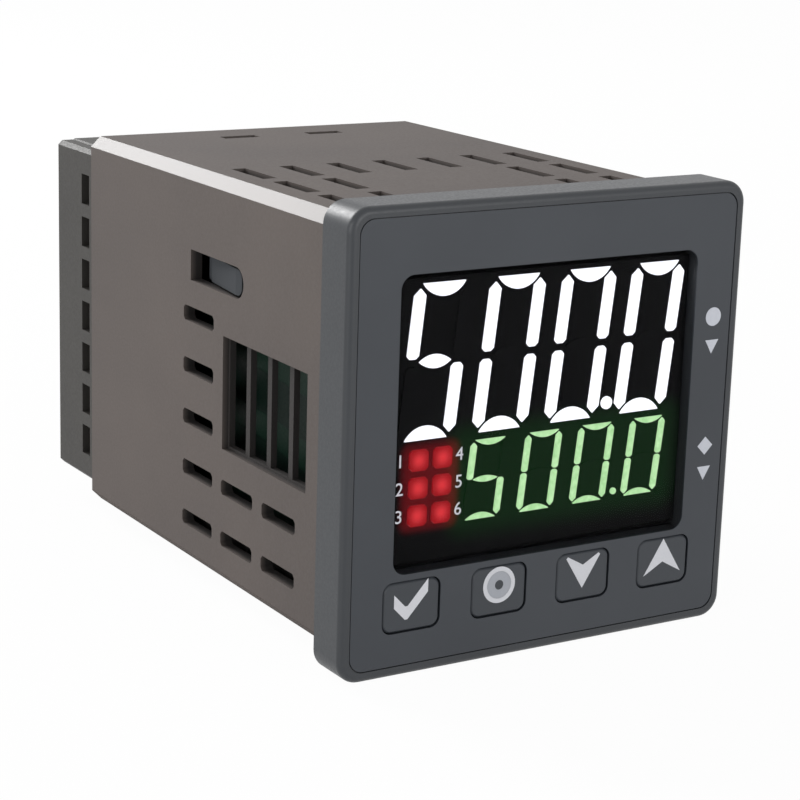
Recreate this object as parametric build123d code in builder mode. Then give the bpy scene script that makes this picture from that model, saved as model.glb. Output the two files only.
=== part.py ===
from build123d import *

import os
from dataclasses import dataclass
from math import radians, tan

# Panel-mounted temperature controller with a square front, built in millimetres.
# The origin is the centre of the panel opening, on the face that meets the panel.
# X is to the right as seen from the front, Z is up, and Y runs back through the panel.

# Bezel
bezel_size = 48.0
bezel_depth = 5.5
bezel_corner_radius = 2.4
bezel_front_edge = 0.7
bezel_rear_edge = 0.3
front_wall = 1.6
panel_cutout_clearance = 0.1

# Front overlay, let into the bezel
overlay_border = 1.1
overlay_recess = 0.3
overlay_thickness = 0.25
overlay_clearance = 0.1
overlay_corner_radius = 1.6

# Display window, set in from the bezel's edges
window_side_margin = 6.0
window_top_margin = 7.0
window_bottom_margin = 10.8
window_corner_radius = 1.4
window_clearance = 0.1
window_flange = 1.0
window_flange_thickness = 0.8
lens_thickness = 1.1
lens_rim = 0.6

# Keys
key_count = 4
key_width = 6.6
key_height = 5.2
key_corner_radius = 1.0
key_clearance = 0.12
key_lip = 0.45
key_lip_top = 0.2
key_lip_bottom = 0.25
key_wall_gap = 0.12
key_flange_thickness = 0.8
key_seat_gap = 0.05
key_stem_size = 3.0
key_edge = 0.2
key_travel = 0.5
key_names = ["enter", "select", "down", "up"]

# Case
case_inset = 1.6
case_wall = 1.5
case_length = 58.0
case_draft = 0.2
case_corner_cut = 1.3
case_inner_radius = 0.8
case_rim_seat = 1.5

# Vent slots in the case walls
slot_length = 7.3
slot_height = 1.7
slot_corner = 0.35
slot_pitch_along = 9.4
slot_bottom_margin = 3.8
slot_rear_y = 29.4
slot_top_z = 6.3
side_slot_rows = 5
side_long_rows = 2
side_long_row_slots = 3
top_row_y = 26.0
top_row_slots = 7
top_outer_rows = 2
top_outer_slots = 2

# Clamp track let into each side of the case
track_y = 14.2
track_z = -0.75
track_length = 18.6
track_height = 12.5
track_depth = 0.8
track_windows = 4
track_window_pitch = 4.7
track_window_width = 3.8
track_window_height = 11.9

# Chassis skirt and latch arms behind the bezel
skirt_clearance = 0.15
skirt_wall = 1.1
skirt_length = 7.0
post_width = 2.0
post_depth = 1.5
latch_z = 11.8
latch_arm_width = 2.8
latch_window_front_y = 19.0
latch_window_length = 12.4
latch_window_height = 3.4
latch_hook_gap = 0.8
latch_hook_length = 8.6
latch_hook_height = 1.35
latch_ramp_drop = 0.85
latch_arm_tip = 1.5
latch_nose_flat = 0.4

# Display module and its board
display_gap = 0.25
display_shoulder_gap = 0.1
display_border = 0.3
display_face_clearance = 0.05
display_depth = 6.35
digit_slant = 6.0
digit_proud = 0.2
outer_crossbar_inset = 0.55
inner_crossbar_inset = 1.0
display_top_margin = 1.15
display_bottom_margin = 4.15
row_gap = 0.8
upper_row_margin = 0.8
upper_digit_gap = 2.1
upper_stroke = 1.35
upper_bulge = 1.4
upper_gap = 0.16
upper_middle_gap = 0.4
lower_digit_height = 8.3
lower_row_margin = 9.4
lower_right_margin = 1.4
lower_digit_gap = 2.15
lower_stroke = 0.7
lower_bulge = 0.62
lower_gap = 0.08
lower_middle_gap = 0.1
point_index = 3
digit_values = ["5", "0", "0", "0"]
indicator_size = 2.2
indicator_corner_cut = 0.35
indicator_pitch_x = 2.8
indicator_pitch_z = 2.87
indicator_columns = 2
indicator_rows = 3
indicator_margin = 4.7
display_board_thickness = 1.2
display_board_clearance = 0.15

# Switches behind the keys
switch_size = 4.5
switch_height = 3.8
switch_corner_chamfer = 0.5
plunger_radius = 1.0
plunger_reach = 0.9
plunger_inside = 1.2
plunger_clearance = 0.08
plunger_overrun = 0.3

# Side boards
board_thickness = 1.6
board_wall_gap = 2.7
board_edge_gap = 0.35
board_front_gap = 0.1
board_rear_setback = 6.5
rail_height = 2.4
rail_width = 0.9
rail_clearance = 0.1
rail_front_gap = 1.0
rail_rear_gap = 0.2
connector_size = 2.5
connector_pitch = 2.54
connector_ways = 8
connector_lead = 0.64

# Parts on the power board, set in from its front, rear, upper and lower edges
transformer_front_margin = 4.25
transformer_edge_margin = 3.25
bobbin_stand = 0.5
core_chamfer = 0.4
core_thickness = 5.0
core_width = 16.0
core_height = 12.4
core_leg = 4.0
core_window_width = 3.6
core_window_height = 8.0
bobbin_wall = 0.8
bobbin_depth = 12.6
bobbin_clearance = 0.1
bobbin_flange = 0.9
bobbin_foot = 1.6
winding_margin = 0.4
winding_corner_radius = 1.5
input_capacitor_radius = 5.0
input_capacitor_length = 12.5
input_capacitor_rear_margin = 8.5
input_capacitor_edge_margin = 3.75
output_capacitor_radius = 3.15
output_capacitor_length = 11.0
output_capacitor_front_margin = 3.4
output_capacitor_edge_margin = 5.0
output_capacitor_pitch = 7.5
output_capacitor_count = 2
capacitor_edge = 0.4
rectifier_z = -3.0
rectifier_length = 6.6
rectifier_width = 4.8
rectifier_height = 2.5
rectifier_lead_pitch = 4.2
fuse_radius = 4.1
fuse_length = 7.6
fuse_rear_margin = 4.4
fuse_edge_margin = 2.65
varistor_radius = 3.8
varistor_thickness = 3.6
varistor_edge_margin = 2.45

# Parts on the main board, set in from its edges
relay_length = 20.0
relay_width = 10.0
relay_height = 12.4
relay_edge = 0.4
relay_rear_margin = 4.5
relay_edge_margin = 1.8
relay_stand = 0.5
chip_size = 7.0
chip_height = 1.3
chip_chamfer = 0.25
chip_draft = 8.0
chip_lead_thickness = 0.25
chip_lead_width = 0.35
chip_lead_reach = 1.0
chip_lead_pitch = 0.8
chip_lead_count = 8
signal_chip_length = 10.0
signal_chip_width = 3.9
signal_chip_height = 1.5
signal_chip_lead_count = 8
signal_chip_pitch = 1.27
signal_chip_edge_margin = 4.3
coupler_length = 6.5
coupler_width = 4.6
coupler_height = 3.6
coupler_pitch = 8.0
coupler_lead_pitch = 2.54
coupler_lead_reach = 0.3

# Terminal block at the rear
block_inset = 2.0
block_projection = 11.5
block_front_setback = 4.0
block_edge = 0.5
block_corner = 0.9
spigot_length = 9.0
spigot_clearance = 0.15
spigot_wall = 1.2
rear_wall = 1.5
terminal_rows = 7
terminal_end_margin = 4.75
terminal_side_margin = 3.3
cell_wall = 1.2
cell_width = 8.0
cell_partition = 1.15
screw_hole_clearance = 0.2
wire_window_setback = 0.3
wire_window_depth = 2.0
wire_window_step = 0.5
number_strip_gap = 0.4
number_strip_width = 3.0
number_strip_depth = 0.15
number_strip_margin = 2.0
centre_wall = 1.2
rear_vent_count = 6
rear_vent_width = 12.0
rear_vent_height = 1.8
snap_x = 5.7
snap_width = 4.2
snap_length = 1.2
snap_height = 0.9
snap_y_setback = 6.0
snap_flat = 0.5
snap_clearance = 0.2

# Metalwork of one terminal
cage_width = 5.4
cage_length = 7.1
cage_wall = 0.6
cage_clearance = 0.15
contact_thickness = 0.6
contact_side_gap = 0.1
contact_reach = 4.5
contact_web_gap = 0.5
contact_cell_gap = 0.2
contact_run_gap = 0.5
contact_window_gap = 0.3
screw_head_overhang = 0.45
screw_head_height = 1.8
screw_recess = 1.1
screw_clearance = 0.1
screw_tip_gap = 0.4
screw_slot_width = 0.6
screw_slot_depth = 0.8
screw_cross_share = 0.7
screw_flats = 8

# Faces across the depth, worked out from the sizes above
bezel_front = -bezel_depth
recess_floor = bezel_front + overlay_recess
front_face = recess_floor - overlay_thickness
wall_rear = recess_floor + front_wall
lens_rear = front_face + lens_thickness
window_rear = wall_rear + window_flange_thickness
display_front = lens_rear + display_gap
display_shoulder = window_rear + display_shoulder_gap
display_rear = display_shoulder + display_depth
display_board_rear = display_rear + display_board_thickness
key_flange_front = wall_rear + key_seat_gap
key_flange_rear = key_flange_front + key_flange_thickness
switch_front = display_rear - switch_height
plunger_front = switch_front - plunger_reach
block_front = case_length - block_front_setback
block_rear = case_length + block_projection
spigot_front = case_length - spigot_length
board_front = display_board_rear + board_front_gap
board_rear = case_length - board_rear_setback
wire_window_front = case_length + wire_window_setback
latch_hook_front = latch_window_front_y + latch_hook_gap
latch_hook_rear = latch_hook_front + latch_hook_length

# Widths and heights that fit one inside another
case_width = bezel_size - 2 * case_inset
case_inner = case_width - 2 * case_wall
skirt_size = case_inner - 2 * skirt_clearance
cavity_size = skirt_size - 2 * skirt_wall
spigot_size = case_inner - 2 * spigot_clearance
block_size = case_width - 2 * block_inset
overlay_size = bezel_size - 2 * overlay_border
film_size = overlay_size - 2 * overlay_clearance
rim_opening = case_width + 2 * panel_cutout_clearance
board_outer_x = case_inner / 2 - board_wall_gap
board_inner_x = board_outer_x - board_thickness
board_height = cavity_size - 2 * board_edge_gap
cell_outer_x = block_size / 2 - cell_wall
cell_inner_x = cell_outer_x - cell_width
window_width = bezel_size - 2 * window_side_margin
window_height = bezel_size - window_top_margin - window_bottom_margin
window_centre_z = (window_bottom_margin - window_top_margin) / 2
window_top_z = window_centre_z + window_height / 2 + window_flange
slot_pitch_across = (case_inner / 2 + slot_top_z - slot_bottom_margin) / (side_slot_rows - 1)
key_pitch = (cavity_size - 2 * key_wall_gap - key_width - 2 * key_lip) / (key_count - 1)
key_flange_bottom_z = key_wall_gap - cavity_size / 2
key_centre_z = key_flange_bottom_z + key_lip_bottom + key_height / 2
key_flange_top_z = key_centre_z + key_height / 2 + key_lip_top

# Digits and indicators, laid out inside the window
upper_pitch = (window_width - upper_row_margin) / len(digit_values)
upper_digit_width = upper_pitch - upper_digit_gap
rows_bottom_z = window_bottom_margin + display_bottom_margin - bezel_size / 2
lower_pitch = (window_width - lower_row_margin) / len(digit_values)
lower_digit_width = lower_pitch - lower_digit_gap
lower_centre_x = window_width / 2 - lower_right_margin - len(digit_values) / 2 * lower_pitch
lower_centre_z = rows_bottom_z + lower_digit_height / 2
upper_bottom_z = rows_bottom_z + lower_digit_height + row_gap
upper_top_z = bezel_size / 2 - window_top_margin - display_top_margin
upper_digit_height = upper_top_z - upper_bottom_z
upper_centre_z = (upper_top_z + upper_bottom_z) / 2
indicator_centre_x = indicator_margin - window_width / 2

# Places on the side boards, as distance back (y) and height (z)
board_edge_z = board_height / 2
transformer_y = board_front + transformer_front_margin + bobbin_depth / 2
transformer_z = transformer_edge_margin + core_width / 2 - board_edge_z
input_capacitor_y = board_rear - input_capacitor_rear_margin - input_capacitor_radius
input_capacitor_z = board_edge_z - input_capacitor_edge_margin - input_capacitor_radius
output_capacitor_y = board_front + output_capacitor_front_margin + output_capacitor_radius
output_capacitor_z = board_edge_z - output_capacitor_edge_margin - output_capacitor_radius
rectifier_y = input_capacitor_y
fuse_y = board_rear - fuse_rear_margin - fuse_radius
fuse_z = fuse_edge_margin + fuse_radius - board_edge_z
varistor_y = (transformer_y + bobbin_depth / 2 + fuse_y - fuse_radius) / 2
varistor_z = varistor_edge_margin + varistor_radius - board_edge_z
relay_y = board_rear - relay_rear_margin - relay_length / 2
relay_z = board_edge_z - relay_edge_margin - relay_width / 2
chip_y = (board_front + relay_y - relay_length / 2) / 2
signal_chip_z = board_edge_z - signal_chip_edge_margin - signal_chip_width / 2 - chip_lead_reach

# Terminals, spread over the block
terminal_pitch = (block_size - terminal_end_margin) / terminal_rows
terminal_x = cell_outer_x - terminal_side_margin
cell_height = terminal_pitch - cell_partition
cage_height = cell_height - 2 * cage_clearance
contact_width = cage_height - 2 * cage_wall - 2 * contact_side_gap
screw_radius = cage_height / 2 - cage_wall
screw_head_radius = screw_radius + screw_head_overhang
screw_hole_radius = screw_head_radius + screw_hole_clearance
wire_window_height = cell_height - wire_window_step


def section(y):
    """Drawing plane square to the depth at y, with X to the right and Z up."""
    return Plane.XZ.offset(-y)


def board_plane(side, height=0.0):
    """Plane on the inner face of a side board: local x runs back and local y up or down."""
    return Plane(origin=(side * (board_inner_x - height), 0, 0), x_dir=(0, 1, 0), z_dir=(-side, 0, 0))


def on_board(side, y, z):
    """Point on a side board's plane, given as distance back and height."""
    return (y, -side * z)


def key_x(index):
    """Middle of a key, counted from the left."""
    return (index - (key_count - 1) / 2) * key_pitch


def cut_square(size, cut):
    """Square outline with its four corners cut off."""
    half = size / 2
    near = half - cut
    Polygon(
        (half, near), (near, half), (-near, half), (-half, near),
        (-half, -near), (-near, -half), (near, -half), (half, -near),
    )


def save(piece, name):
    """Label a finished piece and write its file."""
    piece.part.label = name
    export_step(piece.part, f"parts/{name}.step")


def window_outline(growth, mode=Mode.ADD):
    """Rounded outline of the display window, grown on every side."""
    with Locations((0, window_centre_z)):
        RectangleRounded(
            window_width + 2 * growth,
            window_height + 2 * growth,
            window_corner_radius + growth,
            mode=mode,
        )


def key_outlines(growth, mode=Mode.ADD):
    """Rounded outlines of the whole row of keys, grown on every side."""
    with Locations(*[(key_x(i), key_centre_z) for i in range(key_count)]):
        RectangleRounded(
            key_width + 2 * growth,
            key_height + 2 * growth,
            key_corner_radius + growth,
            mode=mode,
        )


os.makedirs("parts", exist_ok=True)


# Front bezel, with the skirt and the two latch arms that hold it in the case

def bezel_openings():
    """Recess for the overlay, the window opening and the key openings."""
    with BuildSketch(section(bezel_front)) as outline:
        RectangleRounded(overlay_size, overlay_size, overlay_corner_radius)
    extrude(outline.sketch, amount=-overlay_recess, mode=Mode.SUBTRACT)
    with BuildSketch(section(recess_floor)) as outline:
        with Locations((0, window_centre_z)):
            Rectangle(window_width + 2 * window_clearance, window_height + 2 * window_clearance)
        with Locations(*[(key_x(i), key_centre_z) for i in range(key_count)]):
            Rectangle(key_width + 2 * key_clearance, key_height + 2 * key_clearance)
    extrude(outline.sketch, amount=-front_wall, mode=Mode.SUBTRACT)


def board_posts():
    """Posts inside the bezel that the display board rests on."""
    post_z = (cavity_size - post_depth) / 2
    with BuildSketch(section(wall_rear)) as outline:
        with GridLocations(2 * key_pitch, 2 * post_z, 2, 2):
            Rectangle(post_width, post_depth)
    extrude(outline.sketch, amount=-(display_rear - wall_rear))


def latch_arm(side):
    """Springy arm whose ramped hook stands in the case's latch window."""
    arm_outer = skirt_size / 2
    arm_start = skirt_length / 2
    arm_end = latch_hook_rear + latch_arm_tip
    with BuildSketch(Plane.YZ.offset(side * arm_outer)) as outline:
        with Locations(((arm_start + arm_end) / 2, latch_z)):
            Rectangle(arm_end - arm_start, latch_arm_width)
    extrude(outline.sketch, amount=-side * skirt_wall)
    with BuildSketch(Plane.YZ.offset(side * arm_outer)) as outline:
        with Locations((latch_hook_front, latch_z)):
            Rectangle(latch_hook_length, latch_arm_width, align=(Align.MIN, Align.CENTER))
    extrude(outline.sketch, amount=side * latch_hook_height)
    hook_ends = front_bezel.edges(Select.LAST).filter_by(Axis.X).group_by(Axis.Y)[0]
    fillet(hook_ends, latch_arm_width / 2 - latch_nose_flat)
    ramp_start = latch_hook_front + latch_arm_width / 2
    hook_top = side * (arm_outer + latch_hook_height)
    with BuildSketch(Plane.XY.offset(latch_z)) as outline:
        with BuildLine() as edge:
            Polyline(
                (hook_top, ramp_start),
                (hook_top - side * latch_ramp_drop, latch_hook_rear),
                (hook_top, latch_hook_rear),
                close=True,
            )
        make_face(edge.edges())
    extrude(outline.sketch, amount=latch_arm_width, both=True, mode=Mode.SUBTRACT)


with BuildPart() as front_bezel:
    with BuildSketch(section(bezel_front)):
        RectangleRounded(bezel_size, bezel_size, bezel_corner_radius)
    extrude(amount=-bezel_depth)
    fillet(front_bezel.faces().sort_by(Axis.Y)[0].edges(), bezel_front_edge)
    chamfer(front_bezel.faces().sort_by(Axis.Y)[-1].edges(), bezel_rear_edge)
    with BuildSketch(section(0)):
        RectangleRounded(skirt_size, skirt_size, case_inner_radius)
    extrude(amount=-skirt_length)
    with BuildSketch(section(-case_rim_seat)):
        cut_square(rim_opening, case_corner_cut)
        RectangleRounded(skirt_size, skirt_size, case_inner_radius, mode=Mode.SUBTRACT)
    extrude(amount=-case_rim_seat, mode=Mode.SUBTRACT)
    with BuildSketch(section(wall_rear)):
        Rectangle(cavity_size, cavity_size)
    extrude(amount=-(skirt_length - wall_rear), mode=Mode.SUBTRACT)
    board_posts()
    bezel_openings()
    for side in (-1, 1):
        latch_arm(side)
save(front_bezel, "front_bezel")


# Printed overlay, cut out for the window and the keys

with BuildPart() as front_overlay:
    with BuildSketch(section(recess_floor)):
        RectangleRounded(film_size, film_size, overlay_corner_radius)
        window_outline(window_clearance, Mode.SUBTRACT)
        key_outlines(key_clearance, Mode.SUBTRACT)
    extrude(amount=overlay_thickness)
save(front_overlay, "front_overlay")


# Display window: a lens that fills the opening, with rims and a flange behind the wall

with BuildPart() as display_window:
    with BuildSketch(section(front_face)):
        window_outline(0)
    extrude(amount=-(window_rear - front_face))
    with BuildSketch(section(lens_rear)):
        with Locations((0, window_centre_z)):
            Rectangle(window_width, window_height - 2 * lens_rim)
    extrude(amount=-(window_rear - lens_rear), mode=Mode.SUBTRACT)
    with BuildSketch(section(wall_rear)):
        with Locations((0, window_top_z)):
            Rectangle(
                window_width + 2 * window_flange,
                window_flange + lens_rim,
                align=(Align.CENTER, Align.MAX),
            )
    extrude(amount=-window_flange_thickness)
save(display_window, "display_window")


# Four keys, each with a cap, a retaining flange and a stem, and the plunger it presses

def build_key(index):
    """One moulded key."""
    with BuildPart() as key:
        with BuildSketch(section(front_face)):
            with Locations((key_x(index), key_centre_z)):
                RectangleRounded(key_width, key_height, key_corner_radius)
        extrude(amount=-(key_flange_rear - front_face))
        chamfer(key.faces().sort_by(Axis.Y)[0].edges(), key_edge)
        with BuildSketch(section(key_flange_front)):
            with Locations((key_x(index), key_flange_bottom_z)):
                Rectangle(
                    key_width + 2 * key_lip,
                    key_flange_top_z - key_flange_bottom_z,
                    align=(Align.CENTER, Align.MIN),
                )
        extrude(amount=-key_flange_thickness)
        with BuildSketch(section(key_flange_rear)):
            with Locations((key_x(index), key_centre_z)):
                Rectangle(key_stem_size, key_stem_size)
        extrude(amount=-(plunger_front - key_flange_rear))
    return key


def build_plunger(index):
    """Switch plunger that the key's stem rests on."""
    with BuildPart() as plunger:
        with BuildSketch(section(plunger_front)):
            with Locations((key_x(index), key_centre_z)):
                Circle(plunger_radius)
        extrude(amount=-(plunger_reach + plunger_inside))
    return plunger


for index, key_name in enumerate(key_names):
    save(build_key(index), f"key_{key_name}")
    save(build_plunger(index), f"plunger_{key_name}")


# Switch bodies on the display board, one behind each key

with BuildPart() as switch_bodies:
    with BuildSketch(section(switch_front)):
        with Locations(*[(key_x(i), key_centre_z) for i in range(key_count)]):
            Rectangle(switch_size, switch_size)
    extrude(amount=-switch_height)
    chamfer(switch_bodies.edges().filter_by(Axis.Y), switch_corner_chamfer)
    with BuildSketch(section(switch_front)):
        with Locations(*[(key_x(i), key_centre_z) for i in range(key_count)]):
            Circle(plunger_radius + plunger_clearance)
    extrude(amount=-(plunger_inside + key_travel + plunger_overrun), mode=Mode.SUBTRACT)
save(switch_bodies, "switch_bodies")


# Display module: a black housing whose face carries the light guides of digits and indicators

lit_segments = {"5": "afgcd", "0": "abcdef"}


@dataclass
class DigitRow:
    """One line of seven-segment digits."""

    centre_x: float
    centre_z: float
    pitch: float
    width: float
    height: float
    stroke: float
    bulge: float
    gap: float
    middle_gap: float

    def place(self, index, x, z):
        """Point of a digit, leaned over by the slant about the digit's own middle."""
        middle = self.centre_x + (index - (len(digit_values) - 1) / 2) * self.pitch
        return (middle + x + z * tan(radians(digit_slant)), self.centre_z + z)

    def upright(self, index, right, upper):
        """Pointed bar at the left or right of a digit, in its upper or lower half."""
        half = self.stroke / 2
        blunt = half / 2
        x = (self.width / 2 - half) * (1 if right else -1)
        sign = 1 if upper else -1
        near = self.middle_gap
        far = self.height / 2 - half / 2 - self.gap
        outline = [
            (x - blunt, near), (x + blunt, near), (x + half, near + blunt), (x + half, far - half),
            (x, far), (x - half, far - half), (x - half, near + blunt),
        ]
        with BuildLine() as edge:
            Polyline([self.place(index, px, sign * pz) for px, pz in outline], close=True)
        make_face(edge.edges())

    def crossbar(self, index, z, above, below):
        """Lens-shaped bar across a digit, bulging by different amounts above and below."""
        end_inset = self.stroke * (outer_crossbar_inset if z else inner_crossbar_inset)
        reach = self.width / 2 - end_inset - self.gap
        left = self.place(index, -reach, z)
        right = self.place(index, reach, z)
        with BuildLine() as edge:
            if above:
                ThreePointArc(left, self.place(index, 0, z + above), right)
            else:
                Line(left, right)
            if below:
                ThreePointArc(right, self.place(index, 0, z - below), left)
            else:
                Line(right, left)
        make_face(edge.edges())

    def segment(self, index, name):
        """One segment of a digit, by its usual letter."""
        if name == "a":
            self.crossbar(index, self.height / 2, 0, self.bulge)
        elif name == "d":
            self.crossbar(index, -self.height / 2, self.bulge, 0)
        elif name == "g":
            self.crossbar(index, 0, self.bulge / 2, self.bulge / 2)
        else:
            self.upright(index, name in "bc", name in "bf")

    def segments(self, lit):
        """All the segments that are lit, or all that are dark."""
        for index, value in enumerate(digit_values):
            for name in "abcdefg":
                if (name in lit_segments[value]) == lit:
                    self.segment(index, name)

    def point(self):
        """Decimal point between two digits."""
        between = point_index - 1
        with Locations(self.place(between, self.pitch / 2, self.stroke - self.height / 2)):
            Circle(self.stroke / 2)


upper_row = DigitRow(
    0, upper_centre_z, upper_pitch,
    upper_digit_width, upper_digit_height, upper_stroke, upper_bulge, upper_gap, upper_middle_gap,
)
lower_row = DigitRow(
    lower_centre_x, lower_centre_z, lower_pitch,
    lower_digit_width, lower_digit_height, lower_stroke, lower_bulge, lower_gap, lower_middle_gap,
)


def indicators():
    """Outlines of the status indicators."""
    with Locations((indicator_centre_x, lower_centre_z)):
        with GridLocations(indicator_pitch_x, indicator_pitch_z, indicator_columns, indicator_rows):
            cut_square(indicator_size, indicator_corner_cut)


with BuildPart() as display_housing:
    with BuildSketch(section(display_front)):
        with Locations((0, window_centre_z)):
            Rectangle(
                window_width - 2 * display_face_clearance,
                window_height - 2 * (lens_rim + display_face_clearance),
            )
    extrude(amount=-(display_rear - display_front))
    with BuildSketch(section(display_shoulder)):
        with Locations((0, window_centre_z)):
            Rectangle(window_width + 2 * display_border, window_height + 2 * display_border)
    extrude(amount=-display_depth)
save(display_housing, "display_housing")


def build_guides(outlines):
    """Light guides of one kind, raised on the module's face."""
    with BuildPart() as guides:
        with BuildSketch(section(display_front - digit_proud)):
            outlines()
        extrude(amount=-digit_proud)
    return guides


def upper_lit():
    """Lit outlines of the upper row."""
    upper_row.segments(True)
    upper_row.point()


def lower_lit():
    """Lit outlines of the lower row."""
    lower_row.segments(True)
    lower_row.point()


def unlit():
    """Dark outlines of both rows."""
    upper_row.segments(False)
    lower_row.segments(False)


save(build_guides(upper_lit), "upper_digits")
save(build_guides(lower_lit), "lower_digits")
save(build_guides(unlit), "unlit_segments")
save(build_guides(indicators), "indicator_lenses")


# Display board

with BuildPart() as display_board:
    with BuildSketch(section(display_rear)):
        board_side = cavity_size - 2 * display_board_clearance
        Rectangle(board_side, board_side)
    extrude(amount=-display_board_thickness)
save(display_board, "display_board")


# Case sleeve, with vent slots, latch windows, clamp tracks and guide rails

def guide_rails():
    """Pairs of ribs that the side boards slide between."""
    rail_front = skirt_length + rail_front_gap
    rail_rear = spigot_front - rail_rear_gap
    rail_offset = board_thickness / 2 + rail_clearance + rail_width / 2
    rail_z = (case_inner - rail_height) / 2
    for side in (-1, 1):
        middle = side * (board_inner_x + board_outer_x) / 2
        with BuildSketch(section(rail_front)) as outline:
            with Locations((middle, 0)):
                with GridLocations(2 * rail_offset, 2 * rail_z, 2, 2):
                    Rectangle(rail_width, rail_height)
        extrude(outline.sketch, amount=-(rail_rear - rail_front))


def side_slot_places():
    """Places of the vent slots in the side walls, as distance back and height."""
    for row in range(side_slot_rows):
        z = slot_top_z - row * slot_pitch_across
        count = side_long_row_slots if row >= side_slot_rows - side_long_rows else 1
        for column in range(count):
            yield (slot_rear_y - column * slot_pitch_along, z)


def top_slot_places():
    """Places of the vent slots in the top and bottom walls, as width and distance back."""
    edge = (top_row_slots - 1) / 2
    for column in range(top_row_slots):
        yield ((column - edge) * slot_pitch_across, top_row_y)
    for row in range(1, top_outer_rows + 1):
        for step in range(top_outer_slots):
            x = (edge - step) * slot_pitch_across
            y = top_row_y - row * slot_pitch_along
            yield (x, y)
            yield (-x, y)


def clamp_tracks():
    """Shallow track on each side with a row of windows that a slide-on clamp grips."""
    floor_x = case_width / 2 - track_depth
    for side in (-1, 1):
        with BuildSketch(Plane.YZ.offset(side * floor_x)) as outline:
            with Locations((track_y, track_z)):
                Rectangle(track_length, track_height)
        extrude(outline.sketch, amount=side * 2 * track_depth, mode=Mode.SUBTRACT)
    with BuildSketch(Plane.YZ) as outline:
        with Locations((track_y, track_z)):
            with GridLocations(track_window_pitch, 0, track_windows, 1):
                Rectangle(track_window_width, track_window_height)
    extrude(outline.sketch, amount=case_width, both=True, mode=Mode.SUBTRACT)


def latch_windows():
    """Openings for the latch hooks, rounded at the front and square at the rear."""
    nose = latch_window_height / 2
    with BuildSketch(Plane.YZ) as outline:
        with Locations((latch_window_front_y + nose, latch_z)):
            Circle(nose)
            Rectangle(
                latch_window_length - nose, latch_window_height, align=(Align.MIN, Align.CENTER)
            )
    extrude(outline.sketch, amount=case_width, both=True, mode=Mode.SUBTRACT)


def snap_windows():
    """Openings in the top and bottom walls for the terminal block's snaps."""
    with BuildSketch(Plane.XY) as outline:
        with Locations((0, case_length - snap_y_setback)):
            with GridLocations(2 * snap_x, 0, 2, 1):
                Rectangle(snap_width + 2 * snap_clearance, snap_length + 2 * snap_clearance)
    extrude(outline.sketch, amount=case_width, both=True, mode=Mode.SUBTRACT)


with BuildPart() as case_housing:
    with BuildSketch(section(-case_rim_seat)):
        cut_square(case_width, case_corner_cut)
    extrude(amount=-(case_length + case_rim_seat), taper=case_draft)
    with BuildSketch(section(-case_rim_seat)):
        RectangleRounded(case_inner, case_inner, case_inner_radius)
    extrude(amount=-(case_length + case_rim_seat), mode=Mode.SUBTRACT)
    guide_rails()
    with BuildSketch(Plane.YZ) as side_slots:
        with Locations(*side_slot_places()):
            Rectangle(slot_length, slot_height)
        chamfer(side_slots.vertices(), slot_corner)
    extrude(amount=case_width, both=True, mode=Mode.SUBTRACT)
    with BuildSketch(Plane.XY):
        with Locations(*top_slot_places()):
            Rectangle(slot_height, slot_length)
    extrude(amount=case_width, both=True, mode=Mode.SUBTRACT)
    clamp_tracks()
    latch_windows()
    snap_windows()
save(case_housing, "case_housing")


# Side boards: mains and outputs on the left, measuring and control on the right

def build_side_board(side):
    """Flat board that stands in the guide rails."""
    with BuildPart() as board:
        with BuildSketch(Plane.YZ.offset(side * board_inner_x)):
            with Locations((board_front, 0)):
                Rectangle(board_rear - board_front, board_height, align=(Align.MIN, Align.CENTER))
        extrude(amount=side * board_thickness)
    return board


save(build_side_board(-1), "power_board")
save(build_side_board(1), "main_board")


# Headers in the corners between the display board and the side boards

with BuildPart() as board_connectors:
    for side in (-1, 1):
        with BuildSketch(section(display_board_rear)):
            with Locations((side * (board_inner_x - connector_size / 2), 0)):
                Rectangle(connector_size, connector_ways * connector_pitch)
                with GridLocations(connector_size, connector_pitch, 2, connector_ways - 1):
                    Rectangle(connector_lead, connector_lead, rotation=45, mode=Mode.SUBTRACT)
        extrude(amount=-connector_size)
save(board_connectors, "board_connectors")


# Parts on the power board

def round_can(y, z, radius, length):
    """Electrolytic capacitor: an upright can."""
    with BuildSketch(board_plane(-1)) as outline:
        with Locations(on_board(-1, y, z)):
            Circle(radius)
    extrude(outline.sketch, amount=length)


with BuildPart() as transformer_core:
    core_middle = core_height / 2 + bobbin_stand
    with BuildSketch(section(transformer_y - core_thickness / 2)):
        with Locations((-board_inner_x + core_middle, transformer_z)):
            Rectangle(core_height, core_width)
            with GridLocations(0, core_leg + core_window_width, 1, 2):
                Rectangle(core_window_height, core_window_width, mode=Mode.SUBTRACT)
    extrude(amount=-core_thickness)
    chamfer(transformer_core.edges().filter_by(Axis.Y).group_by(Axis.X)[-1], core_chamfer)
save(transformer_core, "transformer_core")


def bobbin_section(clearance):
    """Outline of the bobbin's barrel hole round the core's leg."""
    Rectangle(core_thickness + 2 * clearance, core_leg + 2 * clearance)


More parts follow.
